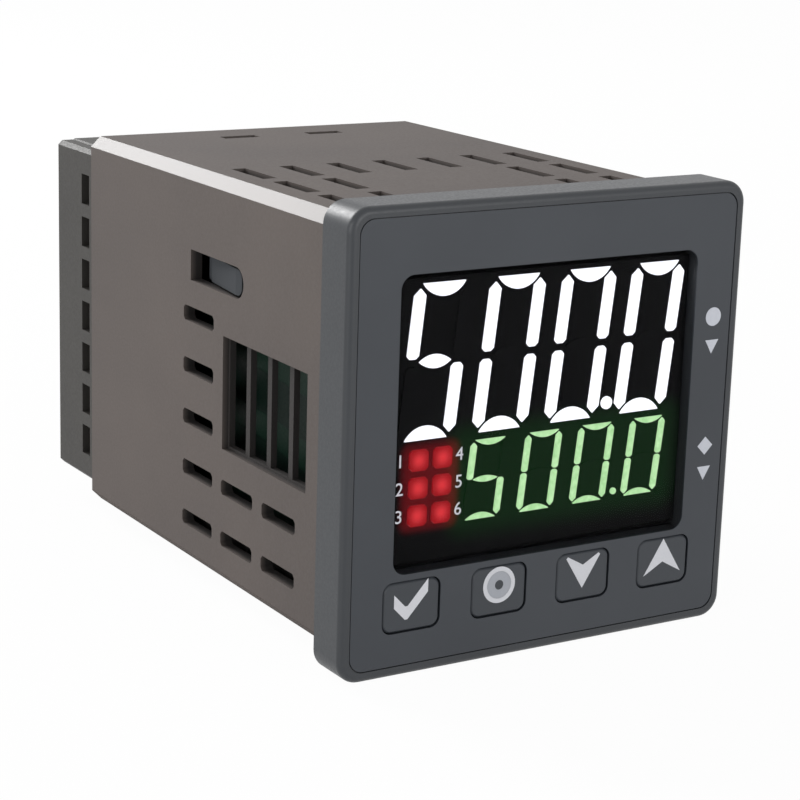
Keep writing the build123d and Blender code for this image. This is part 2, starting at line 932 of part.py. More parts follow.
with BuildPart() as transformer_bobbin:
    bobbin_length = core_window_height - 2 * bobbin_clearance
    bobbin_base = bobbin_stand + (core_height - bobbin_length) / 2
    bobbin_width = core_leg + 2 * (core_window_width - bobbin_clearance)
    with BuildSketch(board_plane(-1, bobbin_base)):
        with Locations(on_board(-1, transformer_y, transformer_z)):
            bobbin_section(bobbin_clearance + bobbin_wall)
    extrude(amount=bobbin_length)
    for flange_height in (bobbin_base, bobbin_base + bobbin_length - bobbin_flange):
        with BuildSketch(board_plane(-1, flange_height)):
            with Locations(on_board(-1, transformer_y, transformer_z)):
                Rectangle(bobbin_depth, bobbin_width)
        extrude(amount=bobbin_flange)
    with BuildSketch(board_plane(-1)):
        with Locations(on_board(-1, transformer_y, transformer_z)):
            with GridLocations(bobbin_depth - bobbin_foot, 0, 2, 1):
                Rectangle(bobbin_foot, bobbin_width)
    extrude(amount=bobbin_base)
    with BuildSketch(board_plane(-1)):
        with Locations(on_board(-1, transformer_y, transformer_z)):
            bobbin_section(bobbin_clearance)
    extrude(amount=core_height + bobbin_stand, mode=Mode.SUBTRACT)
save(transformer_bobbin, "transformer_bobbin")


with BuildPart() as transformer_winding:
    winding_length = bobbin_length - 2 * bobbin_flange
    with BuildSketch(board_plane(-1, bobbin_base + bobbin_flange)):
        with Locations(on_board(-1, transformer_y, transformer_z)):
            RectangleRounded(
                bobbin_depth - 2 * winding_margin,
                bobbin_width - 2 * winding_margin,
                winding_corner_radius,
            )
    extrude(amount=winding_length)
    with BuildSketch(board_plane(-1, bobbin_base + bobbin_flange)):
        with Locations(on_board(-1, transformer_y, transformer_z)):
            bobbin_section(bobbin_clearance + bobbin_wall)
    extrude(amount=winding_length, mode=Mode.SUBTRACT)
save(transformer_winding, "transformer_winding")


with BuildPart() as input_capacitor:
    round_can(
        input_capacitor_y, input_capacitor_z, input_capacitor_radius, input_capacitor_length
    )
    chamfer(input_capacitor.edges().group_by(Axis.X)[-1], capacitor_edge)
save(input_capacitor, "input_capacitor")


with BuildPart() as output_capacitors:
    for step in range(output_capacitor_count):
        round_can(
            output_capacitor_y + step * output_capacitor_pitch,
            output_capacitor_z,
            output_capacitor_radius,
            output_capacitor_length,
        )
    chamfer(output_capacitors.edges().group_by(Axis.X)[-1], capacitor_edge)
save(output_capacitors, "output_capacitors")


with BuildPart() as bridge_rectifier:
    with BuildSketch(board_plane(-1)):
        with Locations(on_board(-1, rectifier_y, rectifier_z)):
            Rectangle(rectifier_length, rectifier_width)
    extrude(amount=rectifier_height)
    chamfer(bridge_rectifier.edges().group_by(Axis.X)[-1], chip_chamfer)
    with BuildSketch(board_plane(-1)):
        with Locations(on_board(-1, rectifier_y, rectifier_z)):
            with GridLocations(rectifier_lead_pitch, 0, 2, 1):
                Rectangle(chip_lead_width * 2, rectifier_width + 2 * chip_lead_reach)
    extrude(amount=chip_lead_thickness)
save(bridge_rectifier, "bridge_rectifier")


with BuildPart() as fuse:
    with BuildSketch(board_plane(-1)):
        with Locations(on_board(-1, fuse_y, fuse_z)):
            Circle(fuse_radius)
    extrude(amount=fuse_length)
    chamfer(fuse.edges().group_by(Axis.X)[-1], capacitor_edge)
save(fuse, "fuse")


with BuildPart() as varistor:
    with BuildSketch(section(varistor_y - varistor_thickness / 2)):
        with Locations((-board_inner_x + varistor_radius, varistor_z)):
            Circle(varistor_radius)
    extrude(amount=-varistor_thickness)
    with BuildSketch(board_plane(-1)):
        with Locations(on_board(-1, varistor_y, varistor_z)):
            Rectangle(varistor_thickness / 2, varistor_radius)
    extrude(amount=varistor_radius / 2)
save(varistor, "varistor")


# Parts on the main board

def chip_body(y, z, length, width, height):
    """Moulded body of a chip, with its upper edges drawn in."""
    with BuildSketch(board_plane(1, chip_lead_thickness)) as outline:
        with Locations(on_board(1, y, z)):
            Rectangle(length, width)
    extrude(outline.sketch, amount=height - chip_lead_thickness, taper=chip_draft)


def chip_leads_across(y, z, count, pitch, span):
    """Flat feet of a chip, in two rows across its body."""
    with BuildSketch(board_plane(1)) as outline:
        with Locations(on_board(1, y, z)):
            with GridLocations(pitch, 0, count, 1):
                Rectangle(chip_lead_width, span)
    extrude(outline.sketch, amount=chip_lead_thickness)


with BuildPart() as microcontroller:
    chip_body(chip_y, 0, chip_size, chip_size, chip_height)
    chip_span = chip_size + 2 * chip_lead_reach
    with BuildSketch(board_plane(1)):
        with Locations(on_board(1, chip_y, 0)):
            with GridLocations(chip_lead_pitch, 0, chip_lead_count, 1):
                Rectangle(chip_lead_width, chip_span)
            with GridLocations(0, chip_lead_pitch, 1, chip_lead_count):
                Rectangle(chip_span, chip_lead_width)
            Rectangle(chip_size, chip_size)
    extrude(amount=chip_lead_thickness)
save(microcontroller, "microcontroller")


with BuildPart() as signal_chips:
    for z in (-signal_chip_z, signal_chip_z):
        chip_body(chip_y, z, signal_chip_length, signal_chip_width, signal_chip_height)
        chip_leads_across(
            chip_y, z, signal_chip_lead_count, signal_chip_pitch, signal_chip_width + 2 * chip_lead_reach
        )
save(signal_chips, "signal_chips")


with BuildPart() as optocouplers:
    for step in (-1, 1):
        y = relay_y + step * coupler_pitch / 2
        chip_body(y, 0, coupler_width, coupler_length, coupler_height)
        chip_leads_across(y, 0, 2, coupler_lead_pitch, coupler_length + 2 * coupler_lead_reach)
save(optocouplers, "optocouplers")


with BuildPart() as output_relays:
    for z in (-relay_z, relay_z):
        with BuildSketch(board_plane(1)):
            with Locations(on_board(1, relay_y, z)):
                Rectangle(relay_length, relay_width)
        extrude(amount=relay_height)
    chamfer(output_relays.edges().filter_by(Axis.Y).group_by(Axis.X)[0], relay_edge)
    with BuildSketch(board_plane(1)):
        with Locations(*[on_board(1, relay_y, z) for z in (-relay_z, relay_z)]):
            Rectangle(relay_length - 2 * relay_edge, relay_width / 2)
    extrude(amount=relay_stand, mode=Mode.SUBTRACT)
save(output_relays, "output_relays")


# Terminal block: cells for the clamps, screw holes behind and wire windows at the sides

def terminal_places(x=0.0):
    """Middles of one column of terminals at a given x."""
    return [(x, (row - (terminal_rows - 1) / 2) * terminal_pitch) for row in range(terminal_rows)]


def block_cells():
    """Cells open to the front, with screw holes through the rear wall."""
    cell_depth = block_rear - rear_wall - block_front
    for side in (-1, 1):
        with BuildSketch(section(block_front)) as outline:
            with Locations(*terminal_places(side * (cell_inner_x + cell_outer_x) / 2)):
                Rectangle(cell_width, cell_height)
        extrude(outline.sketch, amount=-cell_depth, mode=Mode.SUBTRACT)
        with BuildSketch(section(block_front)) as outline:
            with Locations(*terminal_places(side * terminal_x)):
                Circle(screw_hole_radius)
        extrude(outline.sketch, amount=-(block_rear - block_front), mode=Mode.SUBTRACT)
    with BuildSketch(section(block_front)) as outline:
        centre_width = 2 * (cell_inner_x - centre_wall)
        Rectangle(centre_width, block_size - 2 * rear_wall)
    extrude(outline.sketch, amount=-cell_depth, mode=Mode.SUBTRACT)


def wire_windows():
    """Windows through the side walls, close behind the case's rear rim."""
    inside_x = cell_outer_x - cell_wall
    for side in (-1, 1):
        with BuildSketch(Plane.YZ.offset(side * inside_x)) as outline:
            with Locations((wire_window_front + wire_window_depth / 2, 0)):
                with GridLocations(0, terminal_pitch, 1, terminal_rows):
                    Rectangle(wire_window_depth, wire_window_height)
        extrude(outline.sketch, amount=side * (block_size / 2 - inside_x), mode=Mode.SUBTRACT)


def number_strips():
    """Shallow strips sunk in the rear face, one beside each column of screws."""
    with BuildSketch(section(block_rear)) as outline:
        with GridLocations(2 * (cell_inner_x + number_strip_gap), 0, 2, 1):
            Rectangle(number_strip_width, block_size - 2 * number_strip_margin)
    extrude(outline.sketch, amount=number_strip_depth, mode=Mode.SUBTRACT)


def block_snaps():
    """Ramped snaps on the spigot that click into the case's windows."""
    face_z = spigot_size / 2
    root_z = face_z - spigot_wall / 2
    snap_rear = case_length - snap_y_setback + snap_length / 2
    snap_front = snap_rear - snap_length
    for side in (-1, 1):
        for x in (-snap_x, snap_x):
            with BuildSketch(Plane.YZ.offset(x - snap_width / 2)) as outline:
                with BuildLine() as edge:
                    Polyline(
                        (snap_front, side * root_z),
                        (snap_rear, side * root_z),
                        (snap_rear, side * (face_z + snap_height)),
                        (snap_rear - snap_flat, side * (face_z + snap_height)),
                        (snap_front, side * face_z),
                        close=True,
                    )
                make_face(edge.edges())
            extrude(outline.sketch, amount=snap_width)


with BuildPart() as terminal_block:
    with BuildSketch(section(block_front)):
        Rectangle(block_size, block_size)
    extrude(amount=-(block_rear - block_front))
    chamfer(terminal_block.edges().filter_by(Axis.Y), block_corner)
    chamfer(terminal_block.faces().sort_by(Axis.Y)[-1].edges(), block_edge)
    with BuildSketch(section(spigot_front)):
        RectangleRounded(spigot_size, spigot_size, case_inner_radius)
        Rectangle(spigot_size - 2 * spigot_wall, spigot_size - 2 * spigot_wall, mode=Mode.SUBTRACT)
    extrude(amount=-spigot_length)
    block_cells()
    wire_windows()
    with BuildSketch(section(block_rear - rear_wall)) as rear_vents:
        with GridLocations(0, terminal_pitch, 1, rear_vent_count):
            Rectangle(rear_vent_width, rear_vent_height)
        chamfer(rear_vents.vertices(), slot_corner)
    extrude(amount=-rear_wall, mode=Mode.SUBTRACT)
    number_strips()
    block_snaps()
save(terminal_block, "terminal_block")


# Metalwork of the terminals

def contact_strip(side):
    """Profile of one contact seen from above: clamp bar, run to the board and fork."""
    half = contact_thickness / 2
    bar_y = wire_window_front + wire_window_depth + contact_window_gap + half
    run_x = side * (cell_inner_x + contact_run_gap + half)
    web_y = board_rear + contact_web_gap + half
    tip_y = board_rear - contact_reach
    outer_blade = side * (board_outer_x + half)
    inner_blade = side * (board_inner_x - half)
    with BuildLine() as edge:
        Polyline(
            (side * (cell_outer_x - contact_cell_gap), bar_y),
            (run_x, bar_y),
            (run_x, web_y),
            (outer_blade, web_y),
            (outer_blade, tip_y),
        )
        Line((inner_blade, web_y), (inner_blade, tip_y))
    trace(edge.edges(), line_width=contact_thickness)


with BuildPart() as terminal_contacts:
    for side in (-1, 1):
        for x, z in terminal_places():
            with BuildSketch(Plane.XY.offset(z - contact_width / 2)):
                contact_strip(side)
            extrude(amount=contact_width)
save(terminal_contacts, "terminal_contacts")


with BuildPart() as terminal_cages:
    cage_front = wire_window_front - cage_wall
    for side in (-1, 1):
        with BuildSketch(Plane.YZ.offset(side * terminal_x - cage_width / 2)):
            with Locations((cage_front + cage_length / 2, 0)):
                with GridLocations(0, terminal_pitch, 1, terminal_rows):
                    Rectangle(cage_length, cage_height)
                    Rectangle(
                        cage_length - 2 * cage_wall, cage_height - 2 * cage_wall, mode=Mode.SUBTRACT
                    )
        extrude(amount=cage_width)
        with BuildSketch(section(cage_front + cage_length - 2 * cage_wall)):
            with Locations(*terminal_places(side * terminal_x)):
                RegularPolygon(screw_radius + screw_clearance, screw_flats)
        extrude(amount=-2 * cage_wall, mode=Mode.SUBTRACT)
save(terminal_cages, "terminal_cages")


with BuildPart() as terminal_screws:
    head_rear = block_rear - screw_recess
    screw_tip = wire_window_front + wire_window_depth + contact_window_gap + contact_thickness
    for side in (-1, 1):
        with BuildSketch(section(head_rear)):
            with Locations(*terminal_places(side * terminal_x)):
                Circle(screw_head_radius)
        extrude(amount=screw_head_height)
        with BuildSketch(section(head_rear)):
            with Locations(*terminal_places(side * terminal_x)):
                Rectangle(2 * screw_head_radius, screw_slot_width)
                Rectangle(screw_slot_width, 2 * screw_head_radius * screw_cross_share)
        extrude(amount=screw_slot_depth, mode=Mode.SUBTRACT)
        with BuildSketch(section(screw_tip + screw_tip_gap)):
            with Locations(*terminal_places(side * terminal_x)):
                RegularPolygon(screw_radius, screw_flats)
        extrude(amount=-(head_rear - screw_head_height - screw_tip - screw_tip_gap))
save(terminal_screws, "terminal_screws")
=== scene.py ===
import logging
import math
from dataclasses import dataclass
from enum import Enum
from typing import Callable, Mapping, Sequence

import bmesh
import bpy
from bpy.types import Material, NodeTree
from bpy.types import NodeSocket as Socket
from bpy.types import Object as Piece
from mathutils import Matrix, Vector


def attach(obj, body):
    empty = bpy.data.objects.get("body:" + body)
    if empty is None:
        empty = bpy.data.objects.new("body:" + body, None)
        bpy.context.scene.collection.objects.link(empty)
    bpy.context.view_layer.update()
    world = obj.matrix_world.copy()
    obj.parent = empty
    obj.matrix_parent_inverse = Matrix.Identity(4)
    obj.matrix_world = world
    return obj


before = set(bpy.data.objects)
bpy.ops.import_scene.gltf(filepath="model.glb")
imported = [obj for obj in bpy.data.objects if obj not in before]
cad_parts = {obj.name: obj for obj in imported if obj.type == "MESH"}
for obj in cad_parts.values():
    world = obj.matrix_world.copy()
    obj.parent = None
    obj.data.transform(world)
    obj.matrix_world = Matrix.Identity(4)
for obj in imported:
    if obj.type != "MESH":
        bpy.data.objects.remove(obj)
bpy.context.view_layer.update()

# A square-fronted panel temperature controller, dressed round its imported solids.
# Lengths in the classes below are millimetres, X to the right, Y back through the panel and Z up.

Settings = Mapping[str | int, object]
Links = Mapping[str | int, Socket]

MM = 0.001
LOG = logging.getLogger("controller")

# Corners of a piece that are closer than this are one corner.
SAME_POINT = 0.0005

# Faces that are printed on.
FRONT_FACE_Y = -5.45
DISPLAY_FACE_Y = -4.1
NUMBER_STRIP_Y = 69.35

MAIN_BODY = "instrument"

# The display's lamps: their middle as X and Z, their pitch across and upwards, and how many.
LAMP_CENTRE = (-13.3, -4.9)
LAMP_PITCH = (2.8, 2.87)
LAMP_COLUMNS = 2
LAMP_ROWS = 3

# Blender's wave pattern turns through this many radians over one unit of its scale.
WAVE_TURN = 20


def linear(code: str) -> tuple[float, float, float, float]:
    """Turn an sRGB hex colour into the linear colour that a shader takes.

    Args:
        code: Six hex digits after a hash sign.

    Returns:
        Linear red, green and blue with an alpha of one.
    """
    channels = [int(code[i:i + 2], 16) / 255 for i in (1, 3, 5)]
    flat = [c / 12.92 if c <= 0.04045 else ((c + 0.055) / 1.055) ** 2.4 for c in channels]
    return (flat[0], flat[1], flat[2], 1.0)


def add_node(
    tree: NodeTree, kind: str, settings: Settings | None = None, links: Links | None = None
) -> bpy.types.Node:
    """Add one node with its settings and its incoming links.

    Args:
        tree: The node tree that takes the node.
        kind: The node's type name.
        settings: Properties of the node, or values of its inputs by name or number.
        links: Sockets to join to its inputs, by name or number.

    Returns:
        The new node.
    """
    node = tree.nodes.new(kind)
    for key, value in (settings or {}).items():
        if isinstance(key, str) and hasattr(node, key):
            setattr(node, key, value)
        else:
            node.inputs[key].default_value = value
    for key, socket in (links or {}).items():
        tree.links.new(socket, node.inputs[key])
    return node


class Recipe:
    """One material's nodes while they are put together round a Principled shader."""

    def __init__(self, name: str) -> None:
        """Start an empty material.

        Args:
            name: The material's name.
        """
        self.material = bpy.data.materials.new(name)
        self.material.use_nodes = True
        self.tree = self.material.node_tree
        self.tree.nodes.clear()
        self.place = self.add("ShaderNodeTexCoord").outputs["Object"]

    def add(
        self, kind: str, settings: Settings | None = None, links: Links | None = None
    ) -> bpy.types.Node:
        """Add a node to this material; the arguments are those of add_node."""
        return add_node(self.tree, kind, settings, links)

    def speckle(self, size: float, stretch: Sequence[float] = (1.0, 1.0, 1.0)) -> Socket:
        """Make an even random pattern that is fixed to the object.

        Args:
            size: Pitch of the pattern in millimetres.
            stretch: How many times longer the pattern is along X, Y and Z.

        Returns:
            A factor round one half.
        """
        shrunk = self.add(
            "ShaderNodeMapping", {"Scale": [1 / s for s in stretch]}, {"Vector": self.place}
        )
        spots = self.add(
            "ShaderNodeTexNoise",
            {"Scale": 1 / (size * MM), "Detail": 3.0, "Roughness": 0.55},
            {"Vector": shrunk.outputs[0]},
        )
        return spots.outputs[0]

    def two_tone(self, factor: Socket, first: str, second: str) -> Socket:
        """Blend two hex colours by a factor.

        Args:
            factor: Zero for the first colour, one for the second.
            first: Hex colour.
            second: Hex colour.

        Returns:
            The blended colour.
        """
        settings = {"data_type": "RGBA", 6: linear(first), 7: linear(second)}
        return self.add("ShaderNodeMix", settings, {0: factor}).outputs[2]

    def between(self, factor: Socket, low: float, high: float) -> Socket:
        """Stretch the middle of a random factor over a range of values.

        Args:
            factor: A factor round one half.
            low: Value at the factor's low end.
            high: Value at its high end.

        Returns:
            The value.
        """
        settings = {"From Min": 0.3, "From Max": 0.7, "To Min": low, "To Max": high}
        return self.add("ShaderNodeMapRange", settings, {"Value": factor}).outputs[0]

    def greater(self, first: Socket, second: Socket) -> Socket:
        """Take the greater of two values."""
        node = self.add("ShaderNodeMath", {"operation": "MAXIMUM"}, {0: first, 1: second})
        return node.outputs[0]

    def vector(self, operation: str, first: Socket, second: Sequence[float] = (0, 0, 0)) -> Socket:
        """Work on a vector.

        Args:
            operation: What the vector maths node does.
            first: The vector.
            second: A fixed vector that it is worked on with, where the operation takes two.

        Returns:
            The new vector.
        """
        settings = {"operation": operation, 1: second}
        return self.add("ShaderNodeVectorMath", settings, {0: first}).outputs[0]

    def length(self, vector: Socket) -> Socket:
        """Measure a vector, in its own units."""
        node = self.add("ShaderNodeVectorMath", {"operation": "LENGTH"}, {0: vector})
        return node.outputs["Value"]

    def dot(self, vector: Socket, weights: tuple[float, float, float]) -> Socket:
        """Add up a place's three coordinates with weights.

        Args:
            vector: The place.
            weights: Weights of its X, Y and Z.

        Returns:
            The sum, in metres.
        """
        settings = {"operation": "DOT_PRODUCT", 1: weights}
        return self.add("ShaderNodeVectorMath", settings, {0: vector}).outputs["Value"]

    def ramp(self, value: Socket, low: float, high: float) -> Socket:
        """Rise from zero to one between two lengths.

        Args:
            value: A length in metres.
            low: Length in millimetres at which the result is zero.
            high: Length in millimetres at which it is one.

        Returns:
            The factor.
        """
        settings = {"From Min": low * MM, "From Max": high * MM}
        return self.add("ShaderNodeMapRange", settings, {"Value": value}).outputs[0]

    def mix(self, factor: Socket, first: Socket, second: float) -> Socket:
        """Blend a value into another by a factor.

        Args:
            factor: Zero for the first value, one for the second.
            first: The first value.
            second: The second value.

        Returns:
            The blended value.
        """
        return self.add("ShaderNodeMix", {3: second}, {0: factor, 2: first}).outputs[0]

    def relief(self, height: Socket, depth: float) -> Socket:
        """Turn a pattern into a bump of a real depth.

        Args:
            height: The pattern.
            depth: Its height in millimetres.

        Returns:
            A normal.
        """
        settings = {"Strength": 1.0, "Distance": depth * MM}
        return self.add("ShaderNodeBump", settings, {"Height": height}).outputs[0]

    def finish(self, settings: Settings, links: Links) -> Material:
        """Close the material with its shader.

        Args:
            settings: Values on the shader's own sockets.
            links: Patterns that drive its other sockets.

        Returns:
            The finished material.
        """
        shader = self.add("ShaderNodeBsdfPrincipled", settings, links)
        self.add("ShaderNodeOutputMaterial", None, {"Surface": shader.outputs["BSDF"]})
        return self.material


@dataclass(frozen=True)
class Finish:
    """What every finish has: the material's name and the slot that it belongs to."""

    name: str
    slot: str

    def build(self) -> Material:
        """Make the material; each kind of finish says how."""
        raise NotImplementedError


@dataclass(frozen=True)
class MouldedPlastic(Finish):
    """Injection-moulded plastic with a spark-eroded grain and slight shading in its colour.

    The grain and the mottle are pitches of patterns, and the spread is that of the roughness.
    """

    colour: str
    shade: str
    roughness: float = 0.45
    gloss: float = 0.5
    grain: float = 0.28
    grain_depth: float = 0.006
    mottle: float = 14.0
    spread: float = 0.06
    ior: float = 1.53

    def adjust(self, recipe: Recipe, links: dict[str, Socket]) -> None:
        """Change the surface in places; a plain moulding is the same all over."""

    def build(self) -> Material:
        """Make the material: broad shading, fine grain in the bump and in the roughness.

        Returns:
            The material.
        """
        recipe = Recipe(self.name)
        fine = recipe.speckle(self.grain)
        broad = recipe.speckle(self.mottle)
        least, most = self.roughness - self.spread, self.roughness + self.spread
        links = {
            "Base Color": recipe.two_tone(recipe.between(broad, 0.0, 1.0), self.colour, self.shade),
            "Roughness": recipe.between(fine, least, most),
            "Normal": recipe.relief(fine, self.grain_depth),
        }
        self.adjust(recipe, links)
        return recipe.finish({"Specular IOR Level": self.gloss, "IOR": self.ior}, links)


@dataclass(frozen=True)
class PanelPlastic(MouldedPlastic):
    """Moulding whose parts far behind the panel are left unpolished."""

    matt_from: float = 8.0
    matt_full: float = 9.0
    matt_roughness: float = 0.95

    def adjust(self, recipe: Recipe, links: dict[str, Socket]) -> None:
        """Take the sheen off whatever lies behind the panel.

        Args:
            recipe: The material being made.
            links: The shader's links, changed in place.
        """
        back = recipe.dot(recipe.place, (0, 1, 0))
        behind = recipe.ramp(back, self.matt_from, self.matt_full)
        links["Roughness"] = recipe.mix(behind, links["Roughness"], self.matt_roughness)


@dataclass(frozen=True)
class SleevePlastic(MouldedPlastic):
    """Square drafted sleeve: smooth on its upper corner flats, with painted shade inside its
    openings and recesses.

    Its half width and its corners, as X and Z added up, are those of the front end. Both
    shrink towards the rear by the lean, which is the draft of its faces.
    """

    half: float = 22.4
    corner: float = 43.45
    lean: float = 0.0035
    edge: float = 0.08
    upper_from: float = 1.0
    upper_roughness: float = 0.43
    lower_roughness: float = 1.0
    # Painted shade: this dark colour is laid on whatever lies deeper than the outer skin, fading in
    # between the two depths below.
    inside: str = "#2a2726"
    painted_shade_from: float = 0.15
    painted_shade_full: float = 0.7

    def adjust(self, recipe: Recipe, links: dict[str, Socket]) -> None:
        """Smooth the upper corner flats, dull the lower ones and paint shade on what lies further
        in.

        Args:
            recipe: The material being made.
            links: The shader's links, changed in place.
        """
        mirrored = recipe.vector("ABSOLUTE", recipe.place)
        diagonal = recipe.dot(mirrored, (1, self.lean * math.sqrt(2), 1))
        flat = recipe.ramp(diagonal, self.corner - self.edge, self.corner)
        upper = recipe.ramp(recipe.dot(recipe.place, (0, 0, 1)), 0, self.upper_from)
        smooth = recipe.add("ShaderNodeMath", {"operation": "MULTIPLY"}, {0: flat, 1: upper})
        dull = recipe.mix(flat, links["Roughness"], self.lower_roughness)
        links["Roughness"] = recipe.mix(smooth.outputs[0], dull, self.upper_roughness)
        # Painted shade: the colour darkens towards the inside colour with depth below the outer
        # skin; the corner flats keep their own colour.
        across = recipe.dot(mirrored, (1, self.lean, 0))
        upwards = recipe.dot(mirrored, (0, self.lean, 1))
        outermost = recipe.greater(across, upwards)
        skin = recipe.ramp(outermost, self.half - self.painted_shade_full, self.half - self.painted_shade_from)
        settings = {"data_type": "RGBA", 6: linear(self.inside)}
        sources = {0: recipe.greater(skin, flat), 7: links["Base Color"]}
        links["Base Color"] = recipe.add("ShaderNodeMix", settings, sources).outputs[2]


@dataclass(frozen=True)
class SmokedLens(Finish):
    """Dark polished polycarbonate that lit digits show through."""

    colour: str
    cover: float
    haze: float = 9.0
    polish: tuple[float, float] = (0.06, 0.12)

    def build(self) -> Material:
        """Make the material: a thin dark veil with a polished face and faint haze.

        Returns:
            The material.
        """
        recipe = Recipe(self.name)
        cloud = recipe.speckle(self.haze)
        return recipe.finish(
            {
                "Base Color": linear(self.colour),
                "Alpha": self.cover,
                "IOR": 1.58,
                "Specular IOR Level": 0.1,
            },
            {"Roughness": recipe.between(cloud, *self.polish)},
        )


@dataclass(frozen=True)
class Glow:
    """Light that spills over a face from a rectangle and fades round it."""

    centre: tuple[float, float]
    half: tuple[float, float]
    fade: float
    colour: str


@dataclass(frozen=True)
class DisplayFace(Finish):
    """Matt black face of the display, tinted by the light of its digits."""

    colour: str
    shade: str
    glows: tuple[Glow, ...]
    grain: float = 0.2
    matt: tuple[float, float] = (0.5, 0.65)

    def build(self) -> Material:
        """Make the material: black with a soft patch of light for each glow.

        Returns:
            The material.
        """
        recipe = Recipe(self.name)
        fine = recipe.speckle(self.grain)
        total = None
        for glow in self.glows:
            across, up = glow.centre
            shifted = recipe.add(
                "ShaderNodeMapping",
                {"Location": (-across * MM, 0, -up * MM), "Scale": (1, 0, 1)},
                {"Vector": recipe.place},
            )
            mirrored = recipe.vector("ABSOLUTE", shifted.outputs[0])
            half = (glow.half[0] * MM, 0, glow.half[1] * MM)
            beyond = recipe.vector("SUBTRACT", mirrored, half)
            outside = recipe.vector("MAXIMUM", beyond, (0, 0, 0))
            level = recipe.add(
                "ShaderNodeMapRange",
                {
                    "interpolation_type": "SMOOTHSTEP",
                    "From Max": glow.fade * MM,
                    "To Min": 1.0,
                    "To Max": 0.0,
                },
                {"Value": recipe.length(outside)},
            )
            light = recipe.add(
                "ShaderNodeVectorMath",
                {"operation": "SCALE", 0: linear(glow.colour)[:3]},
                {"Scale": level.outputs[0]},
            )
            if total is None:
                total = light.outputs[0]
            else:
                total = recipe.add(
                    "ShaderNodeVectorMath", {"operation": "ADD"}, {0: total, 1: light.outputs[0]}
                ).outputs[0]
        return recipe.finish(
            {"Emission Strength": 1.0, "Specular IOR Level": 0.05},
            {
                "Base Color": recipe.two_tone(fine, self.colour, self.shade),
                "Roughness": recipe.between(fine, *self.matt),
                "Emission Color": total,
            },
        )


@dataclass(frozen=True)
class LitGuide(Finish):
    """Light guide lit from behind through a diffusing film."""

    core: str
    edge: str
    strength: float
    film: float = 0.5

    def build(self) -> Material:
        """Make the material: an even glow, a little cloudy at the film's own scale.

        Returns:
            The material.
        """
        recipe = Recipe(self.name)
        cloud = recipe.speckle(self.film)
        colour = recipe.two_tone(recipe.between(cloud, 0.0, 1.0), self.core, self.edge)
        return recipe.finish(
            {"Emission Strength": self.strength, "Roughness": 0.4, "Specular IOR Level": 0.1},
            {"Base Color": colour, "Emission Color": colour},
        )


@dataclass(frozen=True)
class LampLens(Finish):
    """Row and column of small lamp lenses, each brightest in its middle."""

    middle: str
    rim: str
    centre: tuple[float, float]
    pitch: tuple[float, float]
    rows: int
    columns: int
    reach: float
    strength: float

    def build(self) -> Material:
        """Make the material: the same round hot spot repeated at the lamps' pitch.

        Returns:
            The material.
        """
        recipe = Recipe(self.name)
        first_x = self.centre[0] - self.columns * self.pitch[0] / 2
        first_z = self.centre[1] - self.rows * self.pitch[1] / 2
        cells = recipe.add(
            "ShaderNodeMapping",
            {
                "Location": (-first_x / self.pitch[0], 0, -first_z / self.pitch[1]),
                "Scale": (1 / (self.pitch[0] * MM), 0, 1 / (self.pitch[1] * MM)),
            },
            {"Vector": recipe.place},
        )
        within = recipe.vector("FRACTION", cells.outputs[0])
        centred = recipe.vector("SUBTRACT", within, (0.5, 0, 0.5))
        real = recipe.vector("MULTIPLY", centred, (self.pitch[0], 0, self.pitch[1]))
        level = recipe.add(
            "ShaderNodeMapRange",
            {"interpolation_type": "SMOOTHSTEP", "From Max": self.reach},
            {"Value": recipe.length(real)},
        )
        colour = recipe.two_tone(level.outputs[0], self.middle, self.rim)
        return recipe.finish(
            {"Emission Strength": self.strength, "Roughness": 0.3, "Specular IOR Level": 0.1},
            {"Base Color": colour, "Emission Color": colour},
        )


@dataclass(frozen=True)
class Metal(Finish):
    """Plated or bare sheet and turned metal, with the fine lines that the tool left."""

    colour: str
    shade: str
    roughness: float
    lines: tuple[float, float, float]
    line_width: float = 0.12
    line_depth: float = 0.002
    cloud_size: float = 1.6
    smoother: float = 0.08
    rougher: float = 0.1

    def build(self) -> Material:
        """Make the material: stretched lines in the roughness and a shallow bump.

        Returns:
            The material.
        """
        recipe = Recipe(self.name)
        drawn = recipe.speckle(self.line_width, self.lines)
        cloud = recipe.between(recipe.speckle(self.cloud_size), 0.0, 1.0)
        least, most = self.roughness - self.smoother, self.roughness + self.rougher
        return recipe.finish(
            {"Metallic": 1.0},
            {
                "Base Color": recipe.two_tone(cloud, self.colour, self.shade),
                "Roughness": recipe.between(drawn, least, most),
                "Normal": recipe.relief(drawn, self.line_depth),
            },
        )


@dataclass(frozen=True)
class Laminate(Finish):
    """Glass-epoxy board under matt green solder resist, with copper tracks showing faintly."""

    colour: str
    track: str
    weave: float = 0.3
    band: float = 1.27
    resist: float = 0.03
    matt: tuple[float, float] = (0.4, 0.52)

    def build(self) -> Material:
        """Make the material: wavering tracks, two pi bands apart, under a coat of resist.

        Returns:
            The material.
        """
        recipe = Recipe(self.name)
        weave = recipe.speckle(self.weave)
        scale = 1 / (WAVE_TURN * self.band * MM)
        bands = recipe.add(
            "ShaderNodeTexWave",
            {"bands_direction": "Z", "Scale": scale, "Distortion": 4.0, "Detail": 1.0},
            {"Vector": recipe.place},
        )
        tracks = recipe.add(
            "ShaderNodeMapRange",
            {"From Min": 0.62, "From Max": 0.7},
            {"Value": bands.outputs["Fac"]},
        )
        return recipe.finish(
            {"Specular IOR Level": 0.2},
            {
                "Base Color": recipe.two_tone(tracks.outputs[0], self.colour, self.track),
                "Roughness": recipe.between(weave, *self.matt),
                "Normal": recipe.relief(tracks.outputs[0], self.resist),
            },
        )


